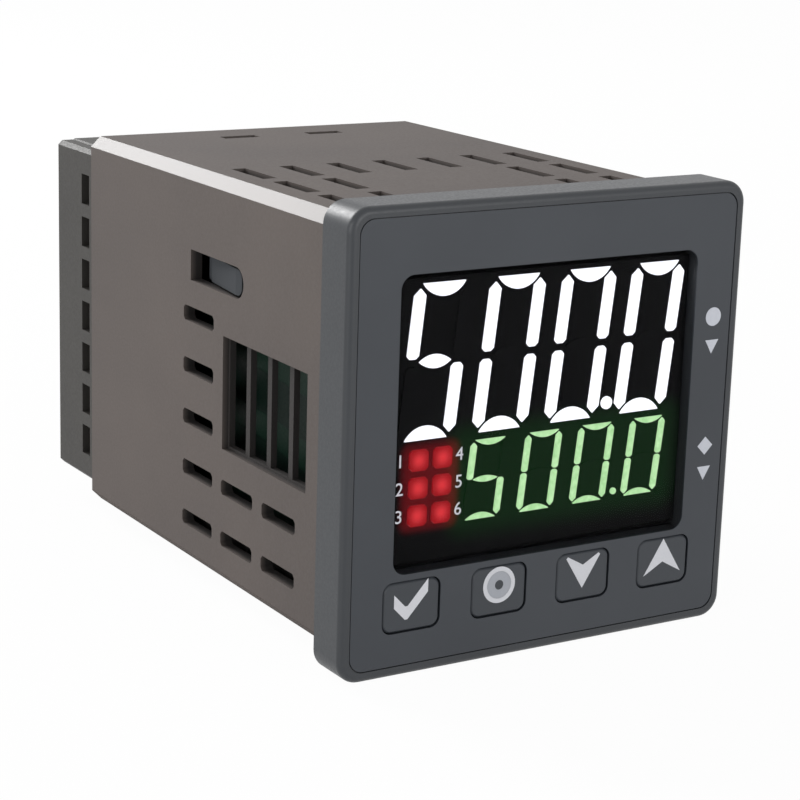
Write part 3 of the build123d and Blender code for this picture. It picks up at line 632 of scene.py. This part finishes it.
@dataclass(frozen=True)
class WoundWire(Finish):
    """Layers of enamelled copper wire, seen as even ridges."""

    colour: str
    shade: str
    wire: float
    ridge: float

    def build(self) -> Material:
        """Make the material: one ridge for about every six turns of wire.

        Returns:
            The material.
        """
        recipe = Recipe(self.name)
        scale = 1 / (WAVE_TURN * self.wire * MM)
        turns = recipe.add(
            "ShaderNodeTexWave",
            {"bands_direction": "X", "Scale": scale, "Distortion": 0.4},
            {"Vector": recipe.place},
        ).outputs["Fac"]
        return recipe.finish(
            {"Metallic": 0.6, "Roughness": 0.34},
            {
                "Base Color": recipe.two_tone(turns, self.shade, self.colour),
                "Normal": recipe.relief(turns, self.ridge),
            },
        )


@dataclass(frozen=True)
class PrintingInk(Finish):
    """Screen-printed ink, with the slight unevenness of the mesh it went through."""

    colour: str
    shade: str
    mesh: float = 0.15
    layer: float = 0.002
    matt: tuple[float, float] = (0.5, 0.65)

    def build(self) -> Material:
        """Make the material: matt ink with a faint screen pattern.

        Returns:
            The material.
        """
        recipe = Recipe(self.name)
        screen = recipe.speckle(self.mesh)
        return recipe.finish(
            {"Specular IOR Level": 0.3},
            {
                "Base Color": recipe.two_tone(screen, self.colour, self.shade),
                "Roughness": recipe.between(screen, *self.matt),
                "Normal": recipe.relief(screen, self.layer),
            },
        )


class Shelf:
    """Keeps each finish's material, so that it is made once."""

    made: dict[str, Material] = {}

    @classmethod
    def take(cls, finish: Finish) -> Material:
        """Give the material of a finish, made on first use.

        Args:
            finish: The finish.

        Returns:
            Its material.
        """
        if finish.name not in cls.made:
            cls.made[finish.name] = finish.build()
        return cls.made[finish.name]


def dress(node: str, finish: Finish) -> None:
    """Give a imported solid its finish.

    Args:
        node: The solid's name.
        finish: The finish for all of it.
    """
    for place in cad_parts[node].material_slots:
        place.material = Shelf.take(finish)
    LOG.info("dressed %s in %s", node, finish.name)


class Part(Enum):
    """What an edit works on."""

    VERTEX = "VERT"
    EDGE = "EDGE"
    FACE = "FACE"


def clear_selection() -> None:
    """Leave nothing selected and no object in edit mode."""
    if bpy.context.object is not None and bpy.context.object.mode != "OBJECT":
        bpy.ops.object.mode_set(mode="OBJECT")
    bpy.ops.object.select_all(action="DESELECT")


def edit_only(piece: Piece, part: Part, test: Callable[[Vector], bool]) -> None:
    """Go into edit mode and select the parts of a piece whose middle passes a test.

    Args:
        piece: The piece, which is made active.
        part: Whether vertices, edges or faces are picked.
        test: Says yes to a middle point, in millimetres in the object's own space.
    """
    bpy.context.view_layer.objects.active = piece
    bpy.ops.object.mode_set(mode="EDIT")
    bpy.ops.mesh.select_mode(type=part.value)
    bpy.ops.mesh.select_all(action="DESELECT")
    mesh = bmesh.from_edit_mesh(piece.data)
    found = {Part.VERTEX: mesh.verts, Part.EDGE: mesh.edges, Part.FACE: mesh.faces}[part]
    for item in found:
        points = [item.co] if part is Part.VERTEX else [v.co for v in item.verts]
        middle = sum(points, Vector()) / len(points) / MM
        if test(middle):
            item.select_set(True)
    bmesh.update_edit_mesh(piece.data)


def settle(piece: Piece) -> None:
    """Apply a piece's modifiers, then put its place into its mesh.

    Args:
        piece: The piece to settle.
    """
    clear_selection()
    piece.select_set(True)
    bpy.context.view_layer.objects.active = piece
    if piece.type != "MESH":
        bpy.ops.object.convert(target="MESH")
    for modifier in list(piece.modifiers):
        bpy.ops.object.modifier_apply(modifier=modifier.name)
    bpy.ops.object.transform_apply(location=True, rotation=True, scale=True)
    bpy.ops.object.mode_set(mode="EDIT")
    bpy.ops.mesh.select_all(action="SELECT")
    bpy.ops.mesh.remove_doubles(threshold=SAME_POINT * MM)
    bpy.ops.mesh.normals_make_consistent(inside=False)
    bpy.ops.object.mode_set(mode="OBJECT")
    piece.select_set(False)


def merge(pieces: Sequence[Piece]) -> Piece:
    """Join several pieces of one finish into one.

    Args:
        pieces: The pieces.

    Returns:
        The joined piece.
    """
    for piece in pieces:
        settle(piece)
    clear_selection()
    for piece in pieces:
        piece.select_set(True)
    bpy.context.view_layer.objects.active = pieces[0]
    bpy.ops.object.join()
    return pieces[0]


def hand_over(piece: Piece, name: str, body: str, finish: Finish) -> None:
    """Name a finished piece, dress it and let it ride on its body.

    Args:
        piece: The piece.
        name: Its name.
        body: The body that it moves with.
        finish: Its finish.
    """
    settle(piece)
    piece.name = name
    piece.data.name = name
    piece.data.materials.clear()
    piece.data.materials.append(Shelf.take(finish))
    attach(piece, body)
    LOG.info("made %s on %s with %d faces", name, body, len(piece.data.polygons))


def spaced(count: int, pitch: float, middle: float = 0.0) -> list[float]:
    """Give places at an even pitch, from the highest down.

    Args:
        count: How many places.
        pitch: Distance from one to the next.
        middle: Middle of them all.

    Returns:
        The places.
    """
    return [middle + ((count - 1) / 2 - step) * pitch for step in range(count)]


def box_between(
    across: tuple[float, float], back: tuple[float, float], up: tuple[float, float], side: int = 1
) -> Piece:
    """Add a box by its faces.

    Args:
        across: Nearer and farther face from the middle, as distance to one side.
        back: Front and rear face.
        up: Lower and upper face.
        side: Minus one to put the box on the left.

    Returns:
        The box, with its place in its mesh.
    """
    clear_selection()
    low, high = sorted(side * x for x in across)
    faces = ((low, high), back, up)
    middle = [(a + b) / 2 * MM for a, b in faces]
    bpy.ops.mesh.primitive_cube_add(size=1, location=middle)
    piece = bpy.context.object
    piece.scale = [(b - a) * MM for a, b in faces]
    bpy.ops.object.transform_apply(location=True, rotation=False, scale=True)
    return piece


@dataclass
class Printer:
    """Lays thin printed shapes on a flat face that looks forward or back."""

    face_y: float
    forward: bool = True
    ink: float = 0.02
    bite: float = 0.006
    capital_share: float = 0.7

    def turn(self) -> tuple[float, float, float]:
        """Rotation that stands a flat shape up on the face."""
        return (math.radians(90), 0, 0 if self.forward else math.radians(180))

    def at(self, x: float, z: float) -> tuple[float, float, float]:
        """Point a little inside the face, where a shape's underside lies."""
        inward = self.bite if self.forward else -self.bite
        return (x * MM, (self.face_y + inward) * MM, z * MM)

    def disc(self, x: float, z: float, radius: float, corners: int = 40) -> Piece:
        """Add a flat filled disc.

        Args:
            x: Middle, to the right.
            z: Middle, upwards.
            radius: Radius of the disc.
            corners: Number of corners round it.

        Returns:
            The disc, still flat.
        """
        clear_selection()
        bpy.ops.mesh.primitive_circle_add(
            vertices=corners, radius=radius * MM, fill_type="NGON",
            location=self.at(x, z), rotation=self.turn(),
        )
        return bpy.context.object

    def plane(self, x: float, z: float, width: float, height: float) -> Piece:
        """Add a flat rectangle.

        Args:
            x: Middle, to the right.
            z: Middle, upwards.
            width: Size across.
            height: Size upwards.

        Returns:
            The rectangle, still flat.
        """
        clear_selection()
        bpy.ops.mesh.primitive_plane_add(size=MM, location=self.at(x, z), rotation=self.turn())
        piece = bpy.context.object
        piece.scale = (width, height, 1)
        bpy.ops.object.transform_apply(location=False, rotation=False, scale=True)
        return piece

    def thicken(self, piece: Piece) -> Piece:
        """Give a flat shape the thickness of a layer of ink, outwards.

        Args:
            piece: The flat shape.

        Returns:
            The same piece.
        """
        solid = piece.modifiers.new("ink", "SOLIDIFY")
        solid.thickness = (self.ink + self.bite) * MM
        solid.offset = 1.0
        return piece

    def word(self, text: str, x: float, z: float, height: float) -> Piece:
        """Print a numeral.

        Args:
            text: The numeral.
            x: Middle, to the right.
            z: Middle, upwards.
            height: Height of the numeral.

        Returns:
            The numeral as a text object with thickness.
        """
        clear_selection()
        bpy.ops.object.text_add(location=self.at(x, z), rotation=self.turn())
        piece = bpy.context.object
        piece.data.body = text
        piece.data.align_x = "CENTER"
        piece.data.align_y = "CENTER"
        piece.data.size = height / self.capital_share * MM
        piece.data.extrude = (self.ink + self.bite) * MM
        piece.data.resolution_u = 3
        return piece

    def numbers(self, columns: Sequence[float], rows: Sequence[float], height: float) -> Piece:
        """Print numerals in columns, counted down each column in turn.

        Args:
            columns: Middle of each column, to the right.
            rows: Middle of each row, upwards.
            height: Height of the numerals.

        Returns:
            All the numerals as one piece.
        """
        words = []
        for x in columns:
            for z in rows:
                words.append(self.word(str(len(words) + 1), x, z, height))
        return merge(words)


class Palette:
    """Every finish of the controller, by the material it really is."""

    # Flame-retardant ABS, spark-eroded mould: dark slate, dull with a soft sheen on its edges.
    # The latch arms, far behind the panel, come from an unpolished part of the mould.
    bezel = PanelPlastic(
        "moulded ABS slate", "bezel_plastic", "#34373b", "#2f3236", roughness=0.42, gloss=0.4,
    )
    # Polyester film printed from behind: smoother and bluer than the moulding round it.
    overlay = MouldedPlastic(
        "printed polyester film", "overlay_film", "#363a40", "#31353b",
        roughness=0.38, gloss=0.4, grain=0.18, grain_depth=0.002,
    )
    # Silicone-coated ABS key caps in the film's colour.
    keys = MouldedPlastic(
        "coated ABS key", "key_plastic", "#34383e", "#303439",
        roughness=0.42, gloss=0.4, grain=0.2, grain_depth=0.002,
    )
    # Glass-filled polycarbonate case: warm grey with a broad, faint shading from the mould's flow.
    # Its two upper corner flats are smooth and catch the light, and painted shade darkens it inside
    # its openings and recesses.
    case = SleevePlastic(
        "moulded polycarbonate warm grey", "case_plastic", "#59514d", "#514a47",
        roughness=0.68, gloss=0.35, grain=0.3, grain_depth=0.003, mottle=24.0,
    )
    # Polyamide terminal block: a shade darker than the case, with a shallower grain.
    terminal = MouldedPlastic(
        "moulded polyamide dark grey", "terminal_plastic", "#383633", "#33312f",
        roughness=0.55, gloss=0.3, grain_depth=0.0015,
    )
    # A black sheet of painted shade inside the wire entries, so that they are seen as dark slots.
    entry_shade = MouldedPlastic(
        "black for painted shade", "connector_plastic", "#0c0c0c", "#101010",
        roughness=0.8, gloss=0.1,
    )
    # Polycarbonate tinted almost black: hides the display's face, lets lit digits through.
    lens = SmokedLens("smoked polycarbonate", "window_lens", "#040405", cover=0.2)
    # Green light that spills round the lower digits, and red light round the lamps.
    spill = (
        Glow((3.2, -4.9), (12.4, 3.9), 3.2, "#06270a"),
        Glow(LAMP_CENTRE, (2.4, 3.6), 1.5, "#6c0c13"),
    )
    # Matt black face of the display, tinted by that spill.
    display = DisplayFace("matt black display face", "display_black", "#08080a", "#0c0c0e", spill)
    # Diffusing epoxy over white diodes.
    white_digit = LitGuide("lit epoxy white", "digit_white", "#fbfbff", "#eef0fa", strength=1.6)
    # Diffusing epoxy over green diodes, pale where the light is strongest.
    green_digit = LitGuide("lit epoxy pale green", "digit_green", "#b8deac", "#9ccc90", strength=1.3)
    # The same epoxy with no light behind it, tinted by the same painted spill of light as the
    # display face.
    dark_segment = DisplayFace("unlit epoxy", "segment_dark", "#0d0d0f", "#111113", spill)
    # Red epoxy lamps, hot in the middle.
    lamp = LampLens(
        "lit epoxy red", "indicator_red", "#cc3238", "#8a1118",
        LAMP_CENTRE, LAMP_PITCH, LAMP_ROWS, LAMP_COLUMNS, reach=1.25, strength=1.25,
    )
    # White screen-printing ink on the keys, and a bluer one on the film.
    ink = PrintingInk("white screen ink", "key_plastic", "#dcdde2", "#d2d3d9")
    film_ink = PrintingInk("white film ink", "overlay_film", "#cfd2da", "#c3c6cf")
    # White ink on the display, with a painted glow that stands in for the light of the lamps beside
    # it.
    display_ink = LitGuide(
        "white legend ink", "display_black", "#cfcfd6", "#bdbdc6", strength=1.1,
    )
    # Grey ink in the field of the ring, and pale ink for the numbers at the rear.
    grey_ink = PrintingInk("grey screen ink", "key_plastic", "#aeb1b8", "#a4a7af")
    block_ink = PrintingInk("pale legend ink", "terminal_plastic", "#b9b8b4", "#adaca8")
    # Glass-epoxy boards under dark green resist.
    board = Laminate("glass-epoxy laminate", "circuit_board", "#0a1a14", "#0f261c")
    # Liquid-crystal polymer headers between the boards.
    connector = MouldedPlastic("moulded LCP black", "connector_plastic", "#1c1c1c", "#222222")
    # Polyester switch bodies with acetal plungers.
    switch = MouldedPlastic(
        "moulded PBT black", "switch_plastic", "#1e1e20", "#242426", roughness=0.35,
    )
    plunger = MouldedPlastic(
        "moulded acetal ivory", "plunger_plastic", "#b8b2a4", "#aca698", roughness=0.35,
    )
    # Sintered core of the transformer, its phenolic bobbin and its enamelled winding.
    ferrite = MouldedPlastic(
        "sintered ferrite", "ferrite", "#3a393b", "#2e2d2f", roughness=0.55, grain_depth=0.01,
    )
    bobbin = MouldedPlastic(
        "moulded phenolic", "bobbin_plastic", "#262321", "#1f1d1b", roughness=0.4,
    )
    winding = WoundWire(
        "enamelled copper wire", "copper_winding", "#b8683a", "#7c3c1c", wire=0.3, ridge=0.1,
    )
    # Vinyl sleeves shrunk round the capacitors' cans.
    sleeve = MouldedPlastic(
        "shrunk vinyl sleeve", "capacitor_sleeve", "#20242e", "#1b1e26", roughness=0.25,
    )
    # Filled epoxy of the chips and the rectifier.
    chip = MouldedPlastic(
        "moulded epoxy black", "chip_black", "#1b1b1c", "#222223", roughness=0.5,
    )
    # Brown body of the fuse, blue dip of the varistor.
    fuse = MouldedPlastic(
        "moulded thermoplastic brown", "fuse_plastic", "#3a2a22", "#33251e", roughness=0.3,
    )
    varistor = MouldedPlastic(
        "dipped epoxy blue", "varistor_coating", "#2c5a94", "#264f84", roughness=0.3,
    )
    # White epoxy of the optocouplers, blue covers of the relays.
    coupler = MouldedPlastic(
        "moulded epoxy white", "coupler_plastic", "#c4c4be", "#b8b8b2", roughness=0.45,
    )
    relay = MouldedPlastic(
        "moulded PBT blue", "relay_plastic", "#2f6098", "#2a578a", roughness=0.3,
    )
    # Metalwork of the terminals: tinned contact strips, plated cages and plated screws.
    brass = Metal(
        "tinned brass strip", "contact_brass", "#d5c08a", "#c6b07a",
        roughness=0.32, lines=(1.0, 12.0, 1.0),
    )
    cage = Metal(
        "zinc-plated steel strip", "cage_steel", "#c9cacb", "#bcbdc0",
        roughness=0.36, lines=(12.0, 1.0, 1.0),
    )
    screw = Metal(
        "zinc-plated steel screw", "screw_steel", "#cfd0d0", "#c0c1c3",
        roughness=0.3, lines=(1.0, 1.0, 8.0),
    )


@dataclass
class FrontPanel:
    """Bezel and printed film, with the plain marks beside the display."""

    marks_x: float = 20.6
    dot_z: float = 9.7
    lozenge_z: float = -4.4
    wedges_z: tuple[float, float] = (6.7, -7.2)
    mark_radius: float = 1.0

    def wedge(self, printer: Printer, z: float) -> Piece:
        """Print a small wedge that points down.

        Args:
            printer: Lays the ink.
            z: Middle, upwards.

        Returns:
            The wedge.
        """
        piece = printer.disc(self.marks_x, z, self.mark_radius, corners=3)
        piece.rotation_euler.rotate_axis("Z", math.radians(180))
        return printer.thicken(piece)

    def build(self) -> None:
        """Dress the solids and print the marks."""
        dress("front_bezel", Palette.bezel)
        dress("front_overlay", Palette.overlay)
        printer = Printer(FRONT_FACE_Y)
        marks = [self.wedge(printer, z) for z in self.wedges_z]
        marks.append(printer.thicken(printer.disc(self.marks_x, self.dot_z, self.mark_radius)))
        lozenge = printer.disc(self.marks_x, self.lozenge_z, self.mark_radius, corners=4)
        marks.append(printer.thicken(lozenge))
        hand_over(merge(marks), "panel_marks", MAIN_BODY, Palette.film_ink)


@dataclass
class KeyRow:
    """Four keys, each with its printed symbol."""

    first_x: float = -15.78
    pitch: float = 10.52
    symbol_z: float = -16.1
    symbol_height: float = 3.9
    arrow_width: float = 4.9
    notch: float = 1.35
    clipped_tip: float = 0.55
    off_middle: float = 0.5
    tick_x: float = -0.6
    tick_width: float = 0.3
    tick_stroke: float = 1.4
    long_arm: tuple[float, float] = (2.35, 2.6)
    short_arm: tuple[float, float] = (-1.3, 1.35)
    rim_width: float = 0.5
    field_width: float = 0.95
    field_lap: float = 0.02
    names: tuple[str, ...] = ("enter", "select", "down", "up")

    def x_of(self, key: str) -> float:
        """Middle of a key, to the right."""
        return self.first_x + self.names.index(key) * self.pitch

    def check_mark(self, printer: Printer) -> Piece:
        """Print a tick: a narrow upright at the corner, drawn out into its two arms.

        Args:
            printer: Lays the ink.

        Returns:
            The flat tick.
        """
        low = self.symbol_z - self.symbol_height / 2 + self.tick_stroke / 2
        middle = self.x_of("enter") + self.tick_x
        piece = printer.plane(middle, low, self.tick_width, self.tick_stroke)
        for side, (across, up) in ((1, self.long_arm), (-1, self.short_arm)):
            edit_only(piece, Part.EDGE, lambda m: m.x * side > self.tick_width / 3)
            bpy.ops.mesh.extrude_region_move(
                TRANSFORM_OT_translate={"value": (across * MM, 0, up * MM)}
            )
            bpy.ops.object.mode_set(mode="OBJECT")
        return piece

    def arrow_head(self, printer: Printer, key: str, up: bool) -> Piece:
        """Print an arrow head with a notch behind it.

        Args:
            printer: Lays the ink.
            key: Name of the key.
            up: True if the head points up.

        Returns:
            The flat arrow head.
        """
        half = self.symbol_height / 2
        piece = printer.disc(self.x_of(key), self.symbol_z, half, corners=4)
        sign = 1 if up else -1
        edit_only(piece, Part.VERTEX, lambda m: m.y * sign < -self.off_middle)
        bpy.ops.transform.translate(value=(0, 0, sign * self.notch * MM))
        bpy.ops.object.mode_set(mode="OBJECT")
        edit_only(piece, Part.VERTEX, lambda m: abs(m.x) > self.off_middle)
        bpy.ops.transform.resize(value=(self.arrow_width / self.symbol_height, 1, 1))
        bpy.ops.transform.translate(value=(0, 0, -sign * half * MM))
        if not up:
            bpy.ops.mesh.bevel(offset=self.clipped_tip * MM, affect="VERTICES")
        bpy.ops.object.mode_set(mode="OBJECT")
        return piece

    def hoop(self, printer: Printer, radius: float, width: float) -> Piece:
        """Print a hoop on the select key.

        Args:
            printer: Lays the ink.
            radius: Outer radius of the hoop.
            width: Width of its band.

        Returns:
            The hoop with thickness.
        """
        piece = printer.disc(self.x_of("select"), self.symbol_z, radius)
        edit_only(piece, Part.FACE, lambda m: True)
        bpy.ops.mesh.inset(thickness=width * MM)
        bpy.ops.mesh.delete(type="FACE")
        bpy.ops.object.mode_set(mode="OBJECT")
        return printer.thicken(piece)

    def ring(self, printer: Printer) -> None:
        """Print a white ring round a grey field, with the key's own colour in the middle.

        Args:
            printer: Lays the ink.
        """
        outer = self.symbol_height / 2
        inner = outer - self.rim_width + self.field_lap
        rim = self.hoop(printer, outer, self.rim_width)
        hand_over(rim, "symbol_select_ring", "select_key", Palette.ink)
        field = self.hoop(printer, inner, self.field_width)
        hand_over(field, "symbol_select_field", "select_key", Palette.grey_ink)

    def build(self) -> None:
        """Dress the keys and print their symbols."""
        printer = Printer(FRONT_FACE_Y)
        for key in self.names:
            dress(f"key_{key}", Palette.keys)
            dress(f"plunger_{key}", Palette.plunger)
        dress("switch_bodies", Palette.switch)
        tick = printer.thicken(self.check_mark(printer))
        hand_over(tick, "symbol_enter", "enter_key", Palette.ink)
        self.ring(printer)
        for key, up in (("down", False), ("up", True)):
            head = printer.thicken(self.arrow_head(printer, key, up))
            hand_over(head, f"symbol_{key}", f"{key}_key", Palette.ink)


@dataclass
class DisplayModule:
    """Display with two rows of digits and six lamps behind a smoked lens."""

    legend_offset: float = 2.1
    legend_height: float = 1.35

    def build(self) -> None:
        """Dress the solids and print a numeral beside each lamp."""
        dress("display_window", Palette.lens)
        dress("display_housing", Palette.display)
        dress("upper_digits", Palette.white_digit)
        dress("lower_digits", Palette.green_digit)
        dress("unlit_segments", Palette.dark_segment)
        dress("indicator_lenses", Palette.lamp)
        dress("display_board", Palette.board)
        reach = LAMP_PITCH[0] / 2 + self.legend_offset
        columns = (LAMP_CENTRE[0] - reach, LAMP_CENTRE[0] + reach)
        rows = spaced(LAMP_ROWS, LAMP_PITCH[1], LAMP_CENTRE[1])
        legends = Printer(DISPLAY_FACE_Y).numbers(columns, rows, self.legend_height)
        hand_over(legends, "lamp_legends", MAIN_BODY, Palette.display_ink)


@dataclass
class CaseSleeve:
    """Moulded case behind the panel."""

    def build(self) -> None:
        """Dress the case."""
        dress("case_housing", Palette.case)


@dataclass
class Electronics:
    """Boards inside the case and the parts on them."""

    def build(self) -> None:
        """Dress every board and part."""
        for node, finish in {
            "power_board": Palette.board,
            "main_board": Palette.board,
            "board_connectors": Palette.connector,
            "transformer_core": Palette.ferrite,
            "transformer_bobbin": Palette.bobbin,
            "transformer_winding": Palette.winding,
            "input_capacitor": Palette.sleeve,
            "output_capacitors": Palette.sleeve,
            "bridge_rectifier": Palette.chip,
            "fuse": Palette.fuse,
            "varistor": Palette.varistor,
            "microcontroller": Palette.chip,
            "signal_chips": Palette.chip,
            "optocouplers": Palette.coupler,
            "output_relays": Palette.relay,
        }.items():
            dress(node, finish)


@dataclass
class TerminalBlock:
    """Rear block with its screws, cages and contact strips."""

    rows: int = 7
    pitch: float = 5.15
    number_x: float = 11.6
    number_height: float = 1.9
    wall_x: tuple[float, float] = (19.3, 21.7)
    wall_y: tuple[float, float] = (58.1, 69.3)
    wall_half_height: float = 20.3
    wall_edge: float = 0.5
    entry_y: tuple[float, float] = (59.7, 61.9)
    entry_height: float = 3.6
    cutter_overlap: float = 1.0
    shade_sheet_x: tuple[float, float] = (20.3, 20.5)
    shade_sheet_margin: float = 0.3
    shade_sheet_end_gap: float = 1.0

    def side_wall(self, side: int) -> Piece:
        """Make one outer wall of the block, with its row of wire entries.

        Args:
            side: Minus one for the left wall, one for the right.

        Returns:
            The wall.
        """
        half = self.wall_half_height
        wall = box_between(self.wall_x, self.wall_y, (-half, half), side)
        edge = wall.modifiers.new("edge", "BEVEL")
        edge.width = self.wall_edge * MM
        edge.segments = 1
        through = (self.wall_x[0] - self.cutter_overlap, self.wall_x[1] + self.cutter_overlap)
        for middle in spaced(self.rows, self.pitch):
            height = (middle - self.entry_height / 2, middle + self.entry_height / 2)
            cutter = box_between(through, self.entry_y, height, side)
            cut = wall.modifiers.new("entry", "BOOLEAN")
            cut.operation = "DIFFERENCE"
            cut.object = cutter
            settle(wall)
            bpy.data.objects.remove(cutter, do_unlink=True)
        return wall

    def entry_shade_sheet(self, side: int) -> Piece:
        """Make the black sheet of painted shade that is seen through the wire entries of one side.

        Args:
            side: Minus one for the left side, one for the right.

        Returns:
            The strip.
        """
        depth = (self.entry_y[0] - self.shade_sheet_margin, self.entry_y[1] + self.shade_sheet_margin)
        half = self.wall_half_height - self.shade_sheet_end_gap
        return box_between(self.shade_sheet_x, depth, (-half, half), side)

    def build(self) -> None:
        """Dress the block and its metalwork, and number the screws as seen from behind."""
        walls = merge([self.side_wall(side) for side in (-1, 1)])
        hand_over(walls, "terminal_side_walls", MAIN_BODY, Palette.terminal)
        # Painted shade: black sheets behind the wire entries stand in for the shade inside them.
        shade_sheets = merge([self.entry_shade_sheet(side) for side in (-1, 1)])
        hand_over(shade_sheets, "wire_entry_shade_sheets", MAIN_BODY, Palette.entry_shade)
        dress("terminal_block", Palette.terminal)
        dress("terminal_contacts", Palette.brass)
        dress("terminal_cages", Palette.cage)
        dress("terminal_screws", Palette.screw)
        columns = (self.number_x, -self.number_x)
        rows = spaced(self.rows, self.pitch)
        printer = Printer(NUMBER_STRIP_Y, forward=False)
        numbers = printer.numbers(columns, rows, self.number_height)
        hand_over(numbers, "terminal_numbers", MAIN_BODY, Palette.block_ink)


@dataclass
class Lamp:
    """Soft rectangular studio light."""

    name: str
    towards: tuple[float, float, float]
    distance: float
    size: float
    radiance: float
    middle: tuple[float, float, float] = (0, 30, 0)

    def build(self) -> None:
        """Hang the light and turn it to the object's middle."""
        clear_selection()
        direction = Vector(self.towards).normalized()
        place = (Vector(self.middle) + direction * self.distance) * MM
        bpy.ops.object.light_add(type="AREA", location=place)
        light = bpy.context.object
        light.name = self.name
        light.data.shape = "SQUARE"
        light.data.size = self.size * MM
        light.data.energy = self.radiance * math.pi * (self.size * MM) ** 2
        light.rotation_euler = direction.to_track_quat("Z", "Y").to_euler()


@dataclass
class Studio:
    """Pale floor, white surroundings, soft lamps and the camera."""

    focal_px: float = 2286.0
    frame_px: float = 800.0
    sensor: float = 36.0
    yaw: float = -31.86
    pitch: float = 14.42
    roll: float = 1.8
    aside: float = -12.27
    above: float = 1.52
    distance: float = 237.0
    nearest: float = 5.0
    ambient: float = 0.38
    floor_z: float = -24.0
    floor_size: float = 8000.0
    floor_grey: float = 0.9
    floor_white: float = 0.97
    lamps: tuple[Lamp, ...] = (
        Lamp("rear softbox", (-0.25, 0.82, 0.51), distance=800, size=300, radiance=17.0),
        Lamp("left softbox", (-0.95, -0.28, 0.12), distance=900, size=600, radiance=3.5),
        Lamp("front softbox", (0.25, -0.95, 0.15), distance=1000, size=500, radiance=4.5),
    )

    def build_camera(self) -> None:
        """Stand the camera where the photograph was taken from."""
        clear_selection()
        yaw, pitch, roll = (math.radians(angle) for angle in (self.yaw, self.pitch, self.roll))
        level = Vector((math.sin(yaw), -math.cos(yaw), 0))
        back = level * math.cos(pitch) + Vector((0, 0, math.sin(pitch)))
        right = Vector((math.cos(yaw), math.sin(yaw), 0))
        up = back.cross(right)
        across = right * math.cos(roll) + up * math.sin(roll)
        upward = up * math.cos(roll) - right * math.sin(roll)
        place = (back * self.distance + across * self.aside + upward * self.above) * MM
        bpy.ops.object.camera_add()
        camera = bpy.context.object
        camera.name = "camera"
        camera.matrix_world = Matrix(
            [[across[i], upward[i], back[i], place[i]] for i in range(3)] + [[0, 0, 0, 1]]
        )
        camera.data.sensor_width = self.sensor
        camera.data.lens = self.focal_px / self.frame_px * self.sensor
        camera.data.clip_start = self.nearest * MM
        bpy.context.scene.camera = camera

    def seen_directly(self, tree: NodeTree) -> Socket:
        """Join the kinds of ray that should find plain white.

        Args:
            tree: The node tree of the floor or of the world.

        Returns:
            One for camera, glossy and transmission rays, or else zero.
        """
        rays = add_node(tree, "ShaderNodeLightPath").outputs
        found = rays["Is Camera Ray"]
        for kind in ("Is Glossy Ray", "Is Transmission Ray"):
            sources = {0: found, 1: rays[kind]}
            found = add_node(tree, "ShaderNodeMath", {"operation": "MAXIMUM"}, sources).outputs[0]
        return found

    def build_world(self) -> None:
        """Fill the surroundings with even light, plain white where it is seen."""
        world = bpy.data.worlds.new("studio")
        bpy.context.scene.world = world
        world.use_nodes = True
        tree = world.node_tree
        tree.nodes.clear()
        level = add_node(
            tree, "ShaderNodeMapRange", {"To Min": self.ambient, "To Max": 1.0},
            {"Value": self.seen_directly(tree)},
        )
        light = add_node(
            tree, "ShaderNodeBackground", {"Color": (1, 1, 1, 1)}, {"Strength": level.outputs[0]}
        )
        add_node(tree, "ShaderNodeOutputWorld", None, {"Surface": light.outputs[0]})

    def build_floor(self) -> None:
        """Lay a pale floor that keeps a faint shadow and is white where it is seen."""
        clear_selection()
        bpy.ops.mesh.primitive_plane_add(
            size=self.floor_size * MM, location=(0, 0, self.floor_z * MM)
        )
        floor = bpy.context.object
        floor.name = "floor"
        material = bpy.data.materials.new("pale floor")
        material.use_nodes = True
        tree = material.node_tree
        tree.nodes.clear()
        grey = (self.floor_grey, self.floor_grey, self.floor_grey, 1)
        paint = add_node(tree, "ShaderNodeBsdfDiffuse", {"Color": grey})
        white = add_node(tree, "ShaderNodeEmission", {"Color": (1, 1, 1, 1), "Strength": 1.0})
        share = add_node(
            tree, "ShaderNodeMath", {"operation": "MULTIPLY", 1: self.floor_white},
            {0: self.seen_directly(tree)},
        )
        mix = add_node(
            tree, "ShaderNodeMixShader", None,
            {0: share.outputs[0], 1: paint.outputs[0], 2: white.outputs[0]},
        )
        add_node(tree, "ShaderNodeOutputMaterial", None, {"Surface": mix.outputs[0]})
        floor.data.materials.append(material)

    def build(self) -> None:
        """Build the studio."""
        self.build_camera()
        self.build_world()
        self.build_floor()
        for lamp in self.lamps:
            lamp.build()
        bpy.context.scene.view_settings.view_transform = "Standard"


def main() -> None:
    """Build the studio and every sub-assembly."""
    logging.basicConfig(level=logging.INFO, format="%(message)s")
    Studio().build()
    for assembly in (
        FrontPanel(), KeyRow(), DisplayModule(), CaseSleeve(), Electronics(), TerminalBlock(),
    ):
        assembly.build()


if __name__ == "__main__":
    main()
